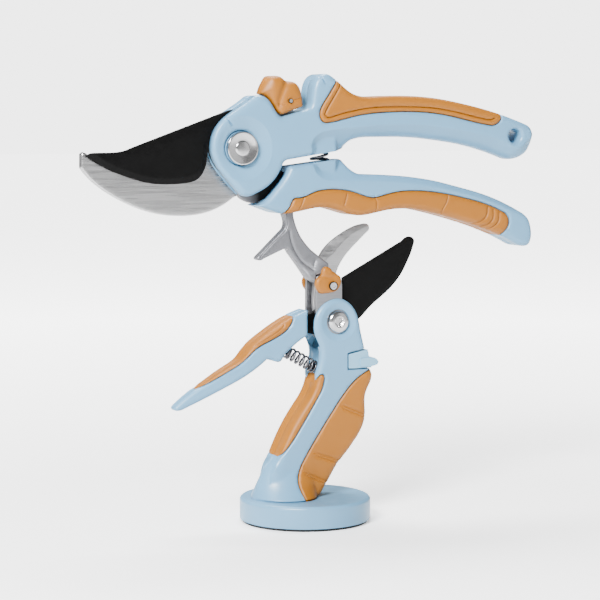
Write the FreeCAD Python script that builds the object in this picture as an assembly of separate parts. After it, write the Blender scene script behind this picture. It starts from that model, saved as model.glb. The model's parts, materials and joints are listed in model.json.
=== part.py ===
"""Pruning shears and their stand: large bypass shears lie on a cradle arm, and the arm is held by
a small pair of shears whose fixed handle stands on a round weighted foot.

Millimetres. +Z is up, +X is towards the handles of the large shears, and the front is -Y.
The origin is the centre of the foot's underside. Outlines lie in planes of constant y, and their
points are measured from the pivot of the shears that they belong to, as (x, z).
"""
import FreeCAD, Part
import math
import os

os.makedirs("parts", exist_ok=True)

# Large shears
MAIN_PIVOT = (-33.0, 165.0)
HANDLE_HALF = 8.0              # half the thickness of a handle
BLADE_Y = (-2.6, -0.1)         # front and back of the cutting blade
HOOK_Y = (0.1, 3.6)            # front and back of the hook
CHEEK_INNER_Y = -2.8           # inner face of the front cheek
BOLT_R = 4.0
BOLT_HEAD_R = 7.2
DISH_R = 14.0                  # shallow dish round the bolt head
LATCH_PIN = (23.0, 20.2)
LATCH_PIN_R = 1.0
LATCH_HALF = 7.2
HANG_HOLE = (135.2, 4.7)
HANG_HOLE_R = 3.4
SPRING_MID = (40.0, -5.3)      # where the main spring's axis crosses the gap between the handles
SPRING_LEAN = math.radians(8)  # lean of that axis from the vertical
SPRING_DOWN = 9.2              # spring length below and above that point
SPRING_UP = 8.4
SPRING_R = 3.7
SPRING_WIRE_R = 0.65

# Stand
STAND_PIVOT = (13.0, 88.4)
FOOT_R = 29.0
FOOT_TOP = 11.0
PAD_TOP = 1.3
PLATE_TOP = 2.8                # top of the steel base plate
WEIGHT_TOP = 8.4
WEIGHT_R = 25.0
COLLAR = (-9.3, 16.0, 13.4, 16.6)  # where the handle meets the foot: centre X, reach to -X, to +X and along Y
FLARE_TOP = (-1.2, 14.0, 11.0, 7.6)    # the same of the flare's upper end
FLARE_HEIGHT = 20.0            # how far the flare rises above the foot
FLARE_POWERS = (0.7, 0.7, 2.4, 2.4)    # how late each of them spreads on the way down
FLARE_STEPS = 8
FLARE_POINTS = 24
SIDE_PLATE_Y = (4.4, 6.0)
STAND_BLADE_Y = (-2.6, -0.4)
COUNTER_Y = (0.1, 2.9)
ARM_Y = (-2.7, 2.3)
EAR_Y = (-4.4, -2.9)
CLAMP_Y = (6.05, 8.3)
CLAMP_SCREW = (-3.4, 16.1)
CLAMP_SCREW_R = 1.5
PIVOT_R = 3.0
PIVOT_HEAD_R = 4.9
LEVER_HALF = 6.2
SMALL_SPRING_ENDS = ((-23.4, -12.1), (-7.4, -21.0))
SMALL_SPRING_R = 2.5
SMALL_WIRE_R = 0.5
TONGUE_X = (-24.4, -19.6)      # tongue on top of the cradle arm
TONGUE_TOP = 57.8

# Fits and small parts
RUNNING = 0.05                 # radial clearance of a part that turns on a pin
GRIP_SKIN = 1.8                # thickness of the soft grips
SCREW_R = 1.4
SCREW_HEAD_R = 2.5
FAR = 200.0

LINE, CURVE, ARC = "line", "curve", "arc"
PARTS = {}


# ---- drawing helpers ----

def at(pivot, point, y=0.0):
    """A point given from a pivot, as a vector at that y."""
    return FreeCAD.Vector(pivot[0] + point[0], y, pivot[1] + point[1])


def outline(pivot, start, *runs):
    """Closed wire at y = 0. Each run is (kind, point, ...) and starts where the last one ended."""
    first = at(pivot, start)
    here = first
    edges = []
    for kind, *points in runs:
        goals = [at(pivot, p) for p in points]
        if kind == CURVE:
            curve = Part.BSplineCurve()
            curve.interpolate([here] + goals)
            edges.append(curve.toShape())
        elif kind == ARC:
            edges.append(Part.Arc(here, *goals).toShape())
        else:
            for a, b in zip([here] + goals, goals):
                edges.append(Part.LineSegment(a, b).toShape())
        here = goals[-1]
    if here.distanceToPoint(first) > 1e-6:
        edges.append(Part.LineSegment(here, first).toShape())
    return Part.Wire(edges)


def slab(wire, y0, y1):
    """The wire's area, extruded from y0 to y1."""
    face = Part.Face(wire)
    face.translate(FreeCAD.Vector(0, y0, 0))
    return face.extrude(FreeCAD.Vector(0, y1 - y0, 0))


def polygon(pivot, *points):
    return outline(pivot, points[0], (LINE, *points[1:]))


def rod(pivot, point, radius, y0, y1):
    """Cylinder along Y."""
    return Part.makeCylinder(radius, y1 - y0, at(pivot, point, y0), FreeCAD.Vector(0, 1, 0))


def cone(pivot, point, r0, r1, y0, y1):
    return Part.makeCone(r0, r1, y1 - y0, at(pivot, point, y0), FreeCAD.Vector(0, 1, 0))


def hexagon(pivot, point, radius, y0, y1):
    corners = []
    for i in range(6):
        turn = math.radians(60 * i)
        corners.append((point[0] + radius * math.cos(turn), point[1] + radius * math.sin(turn)))
    return slab(polygon(pivot, *corners), y0, y1)


def half(shape, side):
    """The part of a shape in front of (side -1) or behind (side 1) the plane y = 0."""
    box = Part.makeBox(2 * FAR, FAR, 2 * FAR, FreeCAD.Vector(-FAR, min(0, side * FAR), -FAR))
    return shape.common(box)


def round_rims(shape, radius, y_values):
    """Fillet the edges that lie wholly in the planes y = each of y_values."""
    rims = []
    for edge in shape.Edges:
        box = edge.BoundBox
        for y in y_values:
            if abs(box.YMin - y) < 1e-4 and abs(box.YMax - y) < 1e-4:
                rims.append(edge)
    return shape.makeFillet(radius, rims)


def soft_grip(handle, zone, inward, core_half):
    """The skin of a handle inside a zone: the handle there, less a core moved inward."""
    skin = handle.common(zone)
    core = handle.copy()
    core.translate(FreeCAD.Vector(inward[0], 0, inward[1]))
    box = Part.makeBox(2 * FAR, 2 * core_half, 2 * FAR, FreeCAD.Vector(-FAR, -core_half, -FAR))
    return skin.cut(core.common(box))


def coil(start, end, radius, wire_r, turns):
    """Helical spring between two points."""
    axis = end - start
    pitch = axis.Length / turns
    path = Part.makeHelix(pitch, axis.Length, radius)
    ring = Part.Wire(Part.makeCircle(wire_r, FreeCAD.Vector(radius, 0, 0), FreeCAD.Vector(0, 1, 0)))
    shape = Part.Wire(path.Edges).makePipeShell([ring], True, True)
    turn = FreeCAD.Rotation(FreeCAD.Vector(0, 0, 1), axis)
    shape.Placement = FreeCAD.Placement(start, turn)
    return shape


def screw(pivot, point, head_y, tip_y, head_r=SCREW_HEAD_R, shank_r=SCREW_R):
    """Pan-head screw along Y with a hexagon socket, its head's top at head_y."""
    way = 1 if tip_y > head_y else -1
    head = rod(pivot, point, head_r, *sorted((head_y, head_y + way * 1.6)))
    shank = rod(pivot, point, shank_r, *sorted((head_y + way * 1.6, tip_y)))
    socket = hexagon(pivot, point, shank_r, *sorted((head_y - way, head_y + way * 0.9)))
    return head.fuse(shank).removeSplitter().cut(socket)


def keep(name, shape):
    """Name a finished piece, as one solid or a group of solids."""
    solids = shape.Solids
    PARTS[name] = solids[0] if len(solids) == 1 else Part.makeCompound(solids)


# ---- large shears ----

def upper_handle_block():
    """Upper handle with its round boss, before it is split and hollowed."""
    wire = outline(
        MAIN_PIVOT, (-13.6, 0.0),
        (CURVE, (-13.2, 3.6), (-11.7, 7.8), (-9.3, 11.1), (-5.9, 14.0), (2.2, 19.2), (6.2, 22.1)),
        (CURVE, (8.6, 22.6), (10.6, 22.2), (12.7, 20.9), (14.5, 18.7), (17.5, 14.4)),
        (CURVE, (18.6, 13.6), (19.8, 13.6)),
        (LINE, (29.4, 16.2), (31.0, 16.6)),
        (CURVE, (32.4, 17.8), (33.2, 20.4), (33.8, 24.6), (34.8, 28.4), (36.8, 31.0), (39.4, 32.0),
         (42.2, 31.4)),
        (CURVE, (47.9, 27.2), (52.5, 23.9), (57.5, 22.4), (64.0, 22.4), (79.0, 22.7), (95.0, 21.6),
         (108.0, 19.4), (122.0, 16.2), (141.5, 9.9)),
        (CURVE, (143.8, 8.3), (145.0, 5.6), (145.1, 0.6), (144.2, -2.0), (141.6, -4.2), (137.2, -5.8),
         (133.5, -5.9)),
        (CURVE, (124.0, -2.7), (110.0, 0.9), (100.0, 2.5), (87.4, 3.9), (77.8, 4.4), (65.3, 4.4),
         (57.0, 3.9), (54.0, 3.0)),
        (CURVE, (51.8, 1.0), (50.4, -0.5), (48.4, -1.2)),
        (LINE, (31.5, -3.7), (21.6, -5.2)),
        (CURVE, (20.2, -6.1), (19.2, -8.0)),
        (ARC, (14.9, -14.4), (7.2, -19.3)),
        (CURVE, (3.8, -20.6), (1.2, -20.5), (-0.9, -19.2)),
        (LINE, (-4.9, -15.0), (-8.4, -11.0)),
        (CURVE, (-11.4, -6.8), (-13.1, -3.0), (-13.6, 0.0)),
    )
    return slab(wire, -HANDLE_HALF, HANDLE_HALF)


def upper_grip_zone():
    wire = outline(
        MAIN_PIVOT, (46.0, 40.0),
        (LINE, (45.9, 30.6)),
        (CURVE, (44.0, 27.6), (40.4, 22.1), (37.2, 17.1), (36.6, 14.1), (37.8, 11.6), (40.6, 10.8)),
        (CURVE, (45.4, 11.6), (53.8, 13.6), (65.1, 15.1), (76.5, 15.6), (89.0, 15.3), (101.9, 13.6),
         (115.1, 10.7), (121.7, 9.6)),
        (CURVE, (125.7, 10.2), (127.6, 12.2), (128.0, 15.0)),
        (LINE, (128.0, 40.0)),
    )
    return slab(wire, -FAR, FAR)


def hook_wire():
    """Hooked counter blade, its round hub, the ear for the latch pin and the tang."""
    return outline(
        MAIN_PIVOT, (-69.8, -2.0),
        (LINE, (-69.9, -7.8)),
        (CURVE, (-65.6, -12.8), (-58.2, -18.4), (-48.0, -23.8), (-37.7, -27.4), (-24.4, -28.8),
         (-13.0, -27.4), (-6.0, -24.6), (-1.4, -21.6)),
        (CURVE, (4.0, -19.2), (11.0, -15.4), (16.6, -9.0), (19.5, -3.0)),
        (LINE, (30.0, 1.8), (34.0, 4.8), (62.0, 8.2), (62.0, 13.0), (36.0, 12.6)),
        (CURVE, (28.6, 14.6), (27.0, 19.8)),
        (ARC, (23.0, 24.0), (19.0, 19.8)),
        (CURVE, (18.0, 13.0), (12.5, 12.5), (4.0, 16.2), (-5.4, 14.4), (-12.0, 7.0), (-13.0, -1.5)),
        (CURVE, (-17.0, -8.2), (-25.0, -12.2), (-35.0, -12.7), (-48.0, -10.3), (-60.0, -6.0),
         (-68.6, -1.2)),
    )


def cutting_blade_wire():
    """Cutting blade, its hub with the latch notch, and the tang that fans out below the hub."""
    return outline(
        MAIN_PIVOT, (-68.3, -3.0),
        (CURVE, (-66.9, -1.9), (-64.0, -1.5), (-56.0, -1.4), (-48.6, 0.3)),
        (LINE, (-5.4, 15.7)),
        (ARC, (-0.6, 16.6), (4.2, 16.1)),
        (LINE, (4.9, 13.6), (8.8, 11.6), (11.2, 12.3)),
        (ARC, (15.4, 6.2), (16.6, 0.4)),
        (CURVE, (17.4, -5.4), (21.0, -10.2), (29.0, -12.4), (34.0, -16.0)),
        (LINE, (46.0, -16.3), (69.0, -14.8), (69.0, -19.6), (60.0, -21.2), (36.0, -21.8), (30.0, -19.6)),
        (LINE, (27.6, -16.6), (18.8, -16.6)),
        (ARC, (14.0, -20.9), (7.5, -23.9)),
        (CURVE, (4.0, -23.2), (0.4, -21.1)),
        (CURVE, (-2.2, -15.5), (-8.2, -10.0), (-12.6, -3.0), (-13.2, 1.2)),
        (LINE, (-14.4, -4.7)),
        (CURVE, (-15.6, -9.9), (-18.4, -13.2), (-24.0, -14.8), (-32.4, -15.2), (-40.7, -14.5),
         (-48.9, -12.3), (-59.1, -8.4), (-68.3, -3.0)),
    )


def lower_handle_block():
    wire = outline(
        MAIN_PIVOT, (22.2, -9.2),
        (CURVE, (22.8, -8.2), (24.4, -7.8)),
        (LINE, (48.0, -5.0)),
        (CURVE, (50.4, -5.8), (52.4, -8.2), (55.0, -10.6), (58.6, -11.8)),
        (CURVE, (66.0, -12.1), (77.0, -12.7), (87.0, -13.8), (96.0, -15.3), (106.0, -17.7),
         (120.6, -21.6), (133.8, -26.9), (139.6, -29.9)),
        (CURVE, (143.0, -32.8), (144.6, -36.8), (144.6, -43.2), (143.4, -45.2), (141.0, -45.8),
         (138.0, -45.1)),
        (CURVE, (128.0, -40.3), (112.4, -34.8), (95.0, -30.0), (86.0, -28.1), (78.0, -27.4),
         (70.0, -28.0), (62.0, -29.5), (56.5, -30.0), (52.0, -29.3), (43.4, -26.8), (38.4, -26.1),
         (32.0, -26.8), (24.0, -28.2), (18.2, -28.4)),
        (CURVE, (13.8, -27.0), (10.0, -25.6), (7.6, -24.8)),
        (CURVE, (12.4, -21.7), (15.3, -18.6), (18.1, -15.4), (20.8, -11.8), (22.2, -9.2)),
    )
    return slab(wire, -HANDLE_HALF, HANDLE_HALF)


def lower_grip_zone():
    wire = outline(
        MAIN_PIVOT, (18.4, -40.0),
        (LINE, (18.4, -30.0)),
        (CURVE, (20.4, -27.8), (22.6, -25.0), (23.8, -22.6), (25.4, -21.7)),
        (CURVE, (28.4, -21.5), (34.6, -19.2), (42.3, -18.2), (50.0, -18.8), (56.8, -20.7), (63.1, -22.2),
         (67.5, -21.4), (74.4, -19.9), (85.4, -19.5), (96.5, -20.6), (108.7, -23.0), (121.0, -26.3),
         (129.4, -29.8)),
        (CURVE, (132.2, -33.2), (131.6, -36.8), (128.6, -40.0), (127.0, -44.0)),
        (LINE, (127.0, -60.0)),
    )
    return slab(wire, -FAR, FAR)


def latch_wire():
    return outline(
        MAIN_PIVOT, (7.4, 23.4),
        (CURVE, (8.9, 23.4), (10.9, 22.9), (13.1, 21.5), (15.0, 19.3), (17.8, 15.4)),
        (CURVE, (18.8, 14.5), (20.0, 14.6)),
        (LINE, (29.2, 17.8), (29.1, 20.4)),
        (CURVE, (28.9, 24.1), (27.8, 26.9), (25.6, 28.5), (22.4, 29.0), (19.6, 30.6), (16.4, 31.1),
         (12.8, 30.4), (9.6, 28.3), (8.0, 25.6), (7.4, 23.4)),
    )


def spring_point(distance):
    """Point on the main spring's axis, that far above the gap's middle."""
    lean = (-math.sin(SPRING_LEAN) * distance, math.cos(SPRING_LEAN) * distance)
    return at(MAIN_PIVOT, (SPRING_MID[0] + lean[0], SPRING_MID[1] + lean[1]))


def spring_bore(radius, low, high):
    start = spring_point(low)
    return Part.makeCylinder(radius, high - low, start, spring_point(high) - start)


UPPER_SCREWS = ((52.0, 9.6), (84.0, 9.6), (112.0, 5.6))
LOWER_SCREWS = ((65.0, -17.4), (90.0, -17.0), (137.0, -37.0))


def handle_screws(points):
    """Screws driven from the back, heads sunk in the back shell."""
    shapes = [screw(MAIN_PIVOT, p, HANDLE_HALF - 0.5, -5.0) for p in points]
    return Part.makeCompound(shapes)


def sink(points):
    """Holes for those screws, open to the back face."""
    tools = []
    for p in points:
        tools.append(rod(MAIN_PIVOT, p, SCREW_HEAD_R, HANDLE_HALF - 2.1, FAR))
        tools.append(rod(MAIN_PIVOT, p, SCREW_R, -5.0, HANDLE_HALF))
    return Part.makeCompound(tools)


def make_pivot():
    """Bolt with a dished head, washer and nut of the large shears."""
    head = rod(MAIN_PIVOT, (0, 0), BOLT_HEAD_R, -8.4, -6.4)
    dish = cone(MAIN_PIVOT, (0, 0), 6.4, 3.6, -8.4, -7.6)
    button = rod(MAIN_PIVOT, (0, 0), 3.2, -8.2, -7.5)
    shank = rod(MAIN_PIVOT, (0, 0), BOLT_R, -6.4, 8.6)
    keep("pivot_bolt", head.cut(dish).fuse([button, shank]).removeSplitter())
    bore = rod(MAIN_PIVOT, (0, 0), BOLT_R, -FAR, FAR)
    keep("pivot_washer", rod(MAIN_PIVOT, (0, 0), 8.0, 5.4, 6.2).cut(bore))
    keep("pivot_nut", hexagon(MAIN_PIVOT, (0, 0), 7.2, 6.2, 8.6).cut(bore))
    return bore


def make_upper_arm(bore):
    """Upper handle, hook, grip and latch pin: the parts that turn with the upper handle."""
    block = round_rims(upper_handle_block(), 1.5, (-HANDLE_HALF, HANDLE_HALF))
    hang = rod(MAIN_PIVOT, HANG_HOLE, HANG_HOLE_R, -FAR, FAR)
    grip = soft_grip(block, upper_grip_zone(), (0, -GRIP_SKIN), HANDLE_HALF - GRIP_SKIN)
    body = block.cut(grip)
    holes = sink(UPPER_SCREWS)
    hook = slab(hook_wire(), *HOOK_Y).cut(bore)
    pin = rod(MAIN_PIVOT, LATCH_PIN, LATCH_PIN_R, -LATCH_HALF - 0.1, LATCH_HALF + 0.1)
    pocket = spring_bore(SPRING_R + SPRING_WIRE_R + 0.4, 0, SPRING_UP)

    slot_blade = rod(MAIN_PIVOT, (0, 0), 17.0, CHEEK_INNER_Y, 0.0)
    slot_left = slab(polygon(MAIN_PIVOT, (1.5, 40), (-40, 40), (-40, -40), (1.5, -40)), CHEEK_INNER_Y, 0)
    slot_low = slab(polygon(MAIN_PIVOT, (-40, 1), (21, 1), (21, -40), (-40, -40)), CHEEK_INNER_Y, 0)
    slot_tooth = slab(polygon(MAIN_PIVOT, (4, 12), (17.4, 12), (17.4, 24), (4, 24)), CHEEK_INNER_Y, 0)
    dish = cone(MAIN_PIVOT, (0, 0), DISH_R, 9.5, -HANDLE_HALF, -6.6)
    head_seat = rod(MAIN_PIVOT, (0, 0), BOLT_HEAD_R, -FAR, -6.4)
    front = half(body, -1).cut([slot_blade, slot_left, slot_low, slot_tooth, dish, head_seat])
    front = front.cut([bore, hang, pocket, holes])
    keep("upper_handle_front", front)

    nut_seat = rod(MAIN_PIVOT, (0, 0), 8.0, 5.4, FAR)
    back = half(body, 1).cut([hook, nut_seat, bore, hang, pocket, holes])
    keep("upper_handle_back", back)
    keep("upper_grip", grip)
    keep("hook_blade", hook.cut([pin, holes]))
    keep("latch_pin", pin)
    keep("upper_handle_screws", handle_screws(UPPER_SCREWS))
    keep("spring_stud_upper", spring_bore(2.6, SPRING_UP - 3.5, SPRING_UP))


def make_latch():
    """Thumb latch: a saddle over the hook's ear, with a tooth towards the blade's hub."""
    block = round_rims(slab(latch_wire(), -LATCH_HALF, LATCH_HALF), 0.8, (-LATCH_HALF, LATCH_HALF))
    ear_slot = slab(polygon(MAIN_PIVOT, (17.0, 25.8), (28.9, 25.8), (31, 10), (17.0, 10)), -0.2, 3.9)
    tooth = slab(polygon(MAIN_PIVOT, (9.6, 24.6), (8.1, 15.7), (11.0, 13.9), (14.6, 21.0)), -2.4, -0.3)
    bore = rod(MAIN_PIVOT, LATCH_PIN, LATCH_PIN_R + RUNNING, -FAR, FAR)
    keep("latch", block.fuse(tooth).cut([ear_slot, bore]))


def make_lower_arm():
    """Lower handle, cutting blade and grip, with the socket that the cradle's tongue fits."""
    block = lower_handle_block()
    grip = soft_grip(block, lower_grip_zone(), (0, GRIP_SKIN), HANDLE_HALF - GRIP_SKIN)
    body = block.cut(grip)
    holes = sink(LOWER_SCREWS)
    blade = slab(cutting_blade_wire(), *BLADE_Y)
    blade = blade.cut(rod(MAIN_PIVOT, (0, 0), BOLT_R + RUNNING, -FAR, FAR))
    pocket = spring_bore(SPRING_R + SPRING_WIRE_R + 0.4, -SPRING_DOWN, 0)
    socket = Part.makeBox(
        TONGUE_X[1] - TONGUE_X[0] + 0.8, ARM_Y[1] - ARM_Y[0] + 0.8, 11.2,
        at(STAND_PIVOT, (TONGUE_X[0] - 0.4, TONGUE_TOP + 0.4 - 11.2), ARM_Y[0] - 0.4),
    )
    keep("lower_handle_front", half(body, -1).cut([blade, pocket, socket, holes]))
    keep("lower_handle_back", half(body, 1).cut([pocket, socket, holes]))
    keep("lower_grip", grip.cut(socket))
    keep("cutting_blade", blade.cut(holes))
    keep("lower_handle_screws", handle_screws(LOWER_SCREWS))
    keep("spring_stud_lower", spring_bore(2.6, -SPRING_DOWN, -SPRING_DOWN + 3.5))
    inner = SPRING_WIRE_R + 0.05
    start, end = spring_point(-SPRING_DOWN + inner), spring_point(SPRING_UP - inner)
    keep("main_spring", coil(start, end, SPRING_R, SPRING_WIRE_R, 7))


# ---- stand ----

def flare_ring(share):
    """Oval section of the flare, from its top (share 0) down to the collar (share 1)."""
    x, left, right, across = (top + (low - top) * share ** power
                              for top, low, power in zip(FLARE_TOP, COLLAR, FLARE_POWERS))
    points = []
    for i in range(FLARE_POINTS):
        turn = 2 * math.pi * i / FLARE_POINTS
        reach = right if math.cos(turn) > 0 else left
        height = FOOT_TOP + FLARE_HEIGHT * (1 - share)
        points.append(FreeCAD.Vector(x + reach * math.cos(turn), across * math.sin(turn), height))
    oval = Part.BSplineCurve()
    oval.interpolate(points, True)
    return Part.Wire(oval.toShape())


def stand_handle_block():
    """Fixed handle, with the flare that widens to the collar on the foot."""
    floor = FOOT_TOP - STAND_PIVOT[1]
    wire = outline(
        STAND_PIVOT, (-11.8, -1.6),
        (CURVE, (-11.1, 3.0), (-7.9, 7.5), (-3.8, 9.8), (0.4, 10.4), (4.6, 9.0), (8.2, 5.6), (10.2, 1.2),
         (11.4, -4.4)),
        (LINE, (13.7, -13.7), (15.9, -21.6)),
        (CURVE, (16.9, -24.4), (16.2, -27.6), (14.2, -31.6), (13.5, -37.0), (13.6, -42.5), (11.8, -48.3),
         (8.0, -53.9), (3.6, -59.2), (-0.5, -63.8), (-3.4, -68.5), (-6.4, -73.2), (-9.0, floor)),
        (LINE, (-33.0, floor)),
        (CURVE, (-31.6, -66.0), (-28.2, -57.8), (-22.6, -46.6), (-17.0, -38.0), (-12.0, -30.6),
         (-10.7, -27.0), (-10.5, -22.5)),
        (CURVE, (-9.4, -19.2), (-8.5, -15.6), (-8.7, -11.6), (-10.2, -7.8), (-11.5, -4.6), (-11.8, -1.6)),
    )
    blade = round_rims(slab(wire, -HANDLE_HALF, HANDLE_HALF), 1.5, (-HANDLE_HALF, HANDLE_HALF))
    rings = [flare_ring(i / FLARE_STEPS) for i in range(FLARE_STEPS + 1)]
    flare = Part.makeLoft(rings, True)
    return blade.fuse(flare).removeSplitter()


def right_grip_zone():
    wire = outline(
        STAND_PIVOT, (-18.6, -90.0),
        (LINE, (-18.6, -79.0)),
        (CURVE, (-20.3, -74.1), (-20.8, -69.5), (-19.5, -65.0), (-14.2, -55.9), (-8.6, -47.5),
         (-3.0, -39.6), (2.7, -32.0), (8.3, -26.2), (14.0, -22.6), (19.0, -20.6)),
        (LINE, (40.0, -20.0), (40.0, -90.0)),
    )
    return slab(wire, -FAR, FAR)


def left_grip_zone():
    wire = outline(
        STAND_PIVOT, (-50.0, -30.5),
        (LINE, (-13.4, -30.5)),
        (CURVE, (-11.6, -27.8), (-9.8, -24.6), (-8.2, -22.9), (-7.1, -23.4), (-7.0, -25.4), (-7.9, -29.0),
         (-10.2, -33.2), (-13.7, -38.8), (-19.3, -47.4), (-24.4, -54.4), (-28.0, -58.0), (-32.0, -60.0)),
        (LINE, (-50.0, -60.0)),
    )
    return slab(wire, -FAR, FAR)


def side_plate(y0, y1):
    wire = outline(
        STAND_PIVOT, (-10.4, 3.4),
        (LINE, (-10.4, 19.6)),
        (CURVE, (-9.6, 20.6), (-8.6, 21.0)),
        (LINE, (-1.6, 20.4)),
        (CURVE, (1.6, 18.6), (2.4, 15.4)),
        (LINE, (2.4, 9.3)),
        (ARC, (9.6, 0.0), (0.0, -9.6)),
        (ARC, (-6.8, -6.8), (-9.6, 0.0)),
    )
    return slab(wire, y0, y1)


def counter_blade_wire():
    """Small fixed blade, its hub and the tang inside the fixed handle."""
    return outline(
        STAND_PIVOT, (-8.2, 4.0),
        (CURVE, (-8.6, 12.0), (-7.4, 20.4), (-5.6, 28.1)),
        (CURVE, (-3.0, 32.0), (0.2, 35.0), (6.1, 38.8), (12.1, 41.6), (16.3, 42.5)),
        (CURVE, (18.2, 42.2), (18.8, 40.8), (17.6, 38.8)),
        (CURVE, (11.6, 33.4), (7.4, 29.2), (4.3, 25.0), (2.5, 21.1), (1.8, 16.0), (4.8, 8.6), (9.0, 0.0)),
        (CURVE, (7.4, -5.2), (3.6, -8.6)),
        (LINE, (3.2, -37.0), (-8.0, -37.0), (-6.0, -22.6), (-0.6, -9.4)),
        (CURVE, (-7.4, -5.2), (-9.0, 0.0), (-8.2, 4.0)),
    )


def stand_blade_wire():
    """Small cutting blade, its hub and the tang inside the lever."""
    return outline(
        STAND_PIVOT, (4.4, 19.0),
        (LINE, (34.6, 34.7)),
        (CURVE, (36.6, 36.2), (38.6, 36.4), (39.9, 35.2), (39.8, 33.2)),
        (CURVE, (39.2, 31.0), (37.2, 26.4), (34.2, 20.8), (30.0, 15.5), (24.0, 10.3), (17.9, 5.6),
         (13.4, 1.2), (9.0, -1.5)),
        (ARC, (3.0, -8.6), (-6.6, -6.2)),
        (LINE, (-13.0, -4.8), (-22.0, -6.6), (-42.0, -17.0), (-44.0, -15.2), (-24.0, -3.6), (-14.0, 3.4)),
        (CURVE, (-9.2, 5.0), (-4.4, 8.4), (0.0, 9.6), (3.2, 10.6)),
        (LINE, (4.4, 15.5)),
    )


def lever_block():
    wire = outline(
        STAND_PIVOT, (-13.9, 5.5),
        (CURVE, (-19.5, 3.6), (-25.0, 1.0), (-33.3, -4.1), (-40.0, -9.0), (-42.6, -11.7), (-44.7, -14.3),
         (-51.3, -18.4), (-59.0, -22.7), (-66.6, -27.2), (-71.6, -30.6), (-75.8, -34.1)),
        (CURVE, (-76.0, -35.2), (-74.8, -35.7), (-71.6, -35.2)),
        (CURVE, (-63.2, -31.6), (-53.1, -26.9), (-42.8, -21.7), (-36.6, -17.7), (-33.5, -15.3)),
        (CURVE, (-31.4, -15.6), (-29.2, -16.5), (-27.2, -16.6), (-26.2, -15.6)),
        (LINE, (-25.2, -13.9)),
        (CURVE, (-20.5, -9.8), (-17.4, -7.6), (-13.9, -5.6)),
    )
    return slab(wire, -LEVER_HALF, LEVER_HALF)


def lever_grip_zone():
    wire = outline(
        STAND_PIVOT, (-20.4, 20.0),
        (LINE, (-20.4, 4.2)),
        (CURVE, (-21.6, 1.0), (-23.8, -2.2), (-27.0, -4.6), (-32.9, -7.4), (-39.1, -10.6), (-42.4, -13.6),
         (-45.5, -16.2), (-51.4, -19.6), (-59.5, -23.9), (-68.4, -27.8)),
        (LINE, (-74.0, -26.0), (-74.0, 20.0)),
    )
    return slab(wire, -FAR, FAR)


def small_spring_point(distance):
    """Point on the small spring's axis, that far from its lever end."""
    start, end = (at(STAND_PIVOT, p) for p in SMALL_SPRING_ENDS)
    return start + (end - start).normalize() * distance


STAND_SCREWS = ((-1.4, -31.0), (-11.6, -45.0), (-21.8, -60.0))
LEVER_RIVETS = ((-24.0, -4.7), (-36.0, -12.2))
LOCK_SLOT = ((4.2, -14.0), (26.0, -9.6), (26.0, -21.5), (4.2, -21.5))


def make_stand_handle():
    block = stand_handle_block()
    cavity = rod(STAND_PIVOT, (0, 0), 14.0, -6.1, 6.1)
    channel = slab(
        polygon(STAND_PIVOT, (-20, -5), (-1.6, -6), (-1.6, -10.5), (-10.8, -27.0), (-16, -27.0)), -4.6, 4.6
    )
    lock_slot = slab(polygon(STAND_PIVOT, *LOCK_SLOT), -FAR, FAR)
    pivot_hole = rod(STAND_PIVOT, (0, 0), PIVOT_HEAD_R, -FAR, FAR)
    dish = cone(STAND_PIVOT, (0, 0), 8.4, 6.0, -HANDLE_HALF, -6.9)
    right = soft_grip(block, right_grip_zone(), (-GRIP_SKIN, GRIP_SKIN), HANDLE_HALF - GRIP_SKIN)
    left = soft_grip(block, left_grip_zone(), (GRIP_SKIN, -GRIP_SKIN / 2), HANDLE_HALF - GRIP_SKIN)
    right = right.cut(left)
    body = block.cut([left, right, cavity, channel, lock_slot, pivot_hole, dish])
    tang = slab(counter_blade_wire(), *COUNTER_Y)
    tools = []
    for p in STAND_SCREWS:
        tools.append(rod(STAND_PIVOT, p, SCREW_HEAD_R, HANDLE_HALF - 2.1, FAR))
        tools.append(rod(STAND_PIVOT, p, SCREW_R, -5.0, HANDLE_HALF))
    holes = Part.makeCompound(tools)
    anchors = [anchor_screw(x, y) for x, y in ANCHORS]
    keep("stand_handle_front", half(body, -1).cut([holes, *anchors]))
    keep("stand_handle_back", half(body, 1).cut([tang, holes, *anchors]))
    keep("stand_grip_left", left.cut(channel))
    keep("stand_grip_right", right.cut([lock_slot, *anchors]))
    bore = rod(STAND_PIVOT, (0, 0), PIVOT_R, -FAR, FAR)
    clamp_bore = rod(STAND_PIVOT, CLAMP_SCREW, CLAMP_SCREW_R, -FAR, FAR)
    keep("counter_blade", tang.cut([bore, clamp_bore, holes]))
    screws = [screw(STAND_PIVOT, p, HANDLE_HALF - 0.5, -5.0) for p in STAND_SCREWS]
    keep("stand_handle_screws", Part.makeCompound(screws))
    keep("side_plate_front", side_plate(-SIDE_PLATE_Y[1], -SIDE_PLATE_Y[0]).cut([bore, clamp_bore]))
    keep("side_plate_back", side_plate(*SIDE_PLATE_Y).cut([bore, clamp_bore]))
    return bore, clamp_bore


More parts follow.
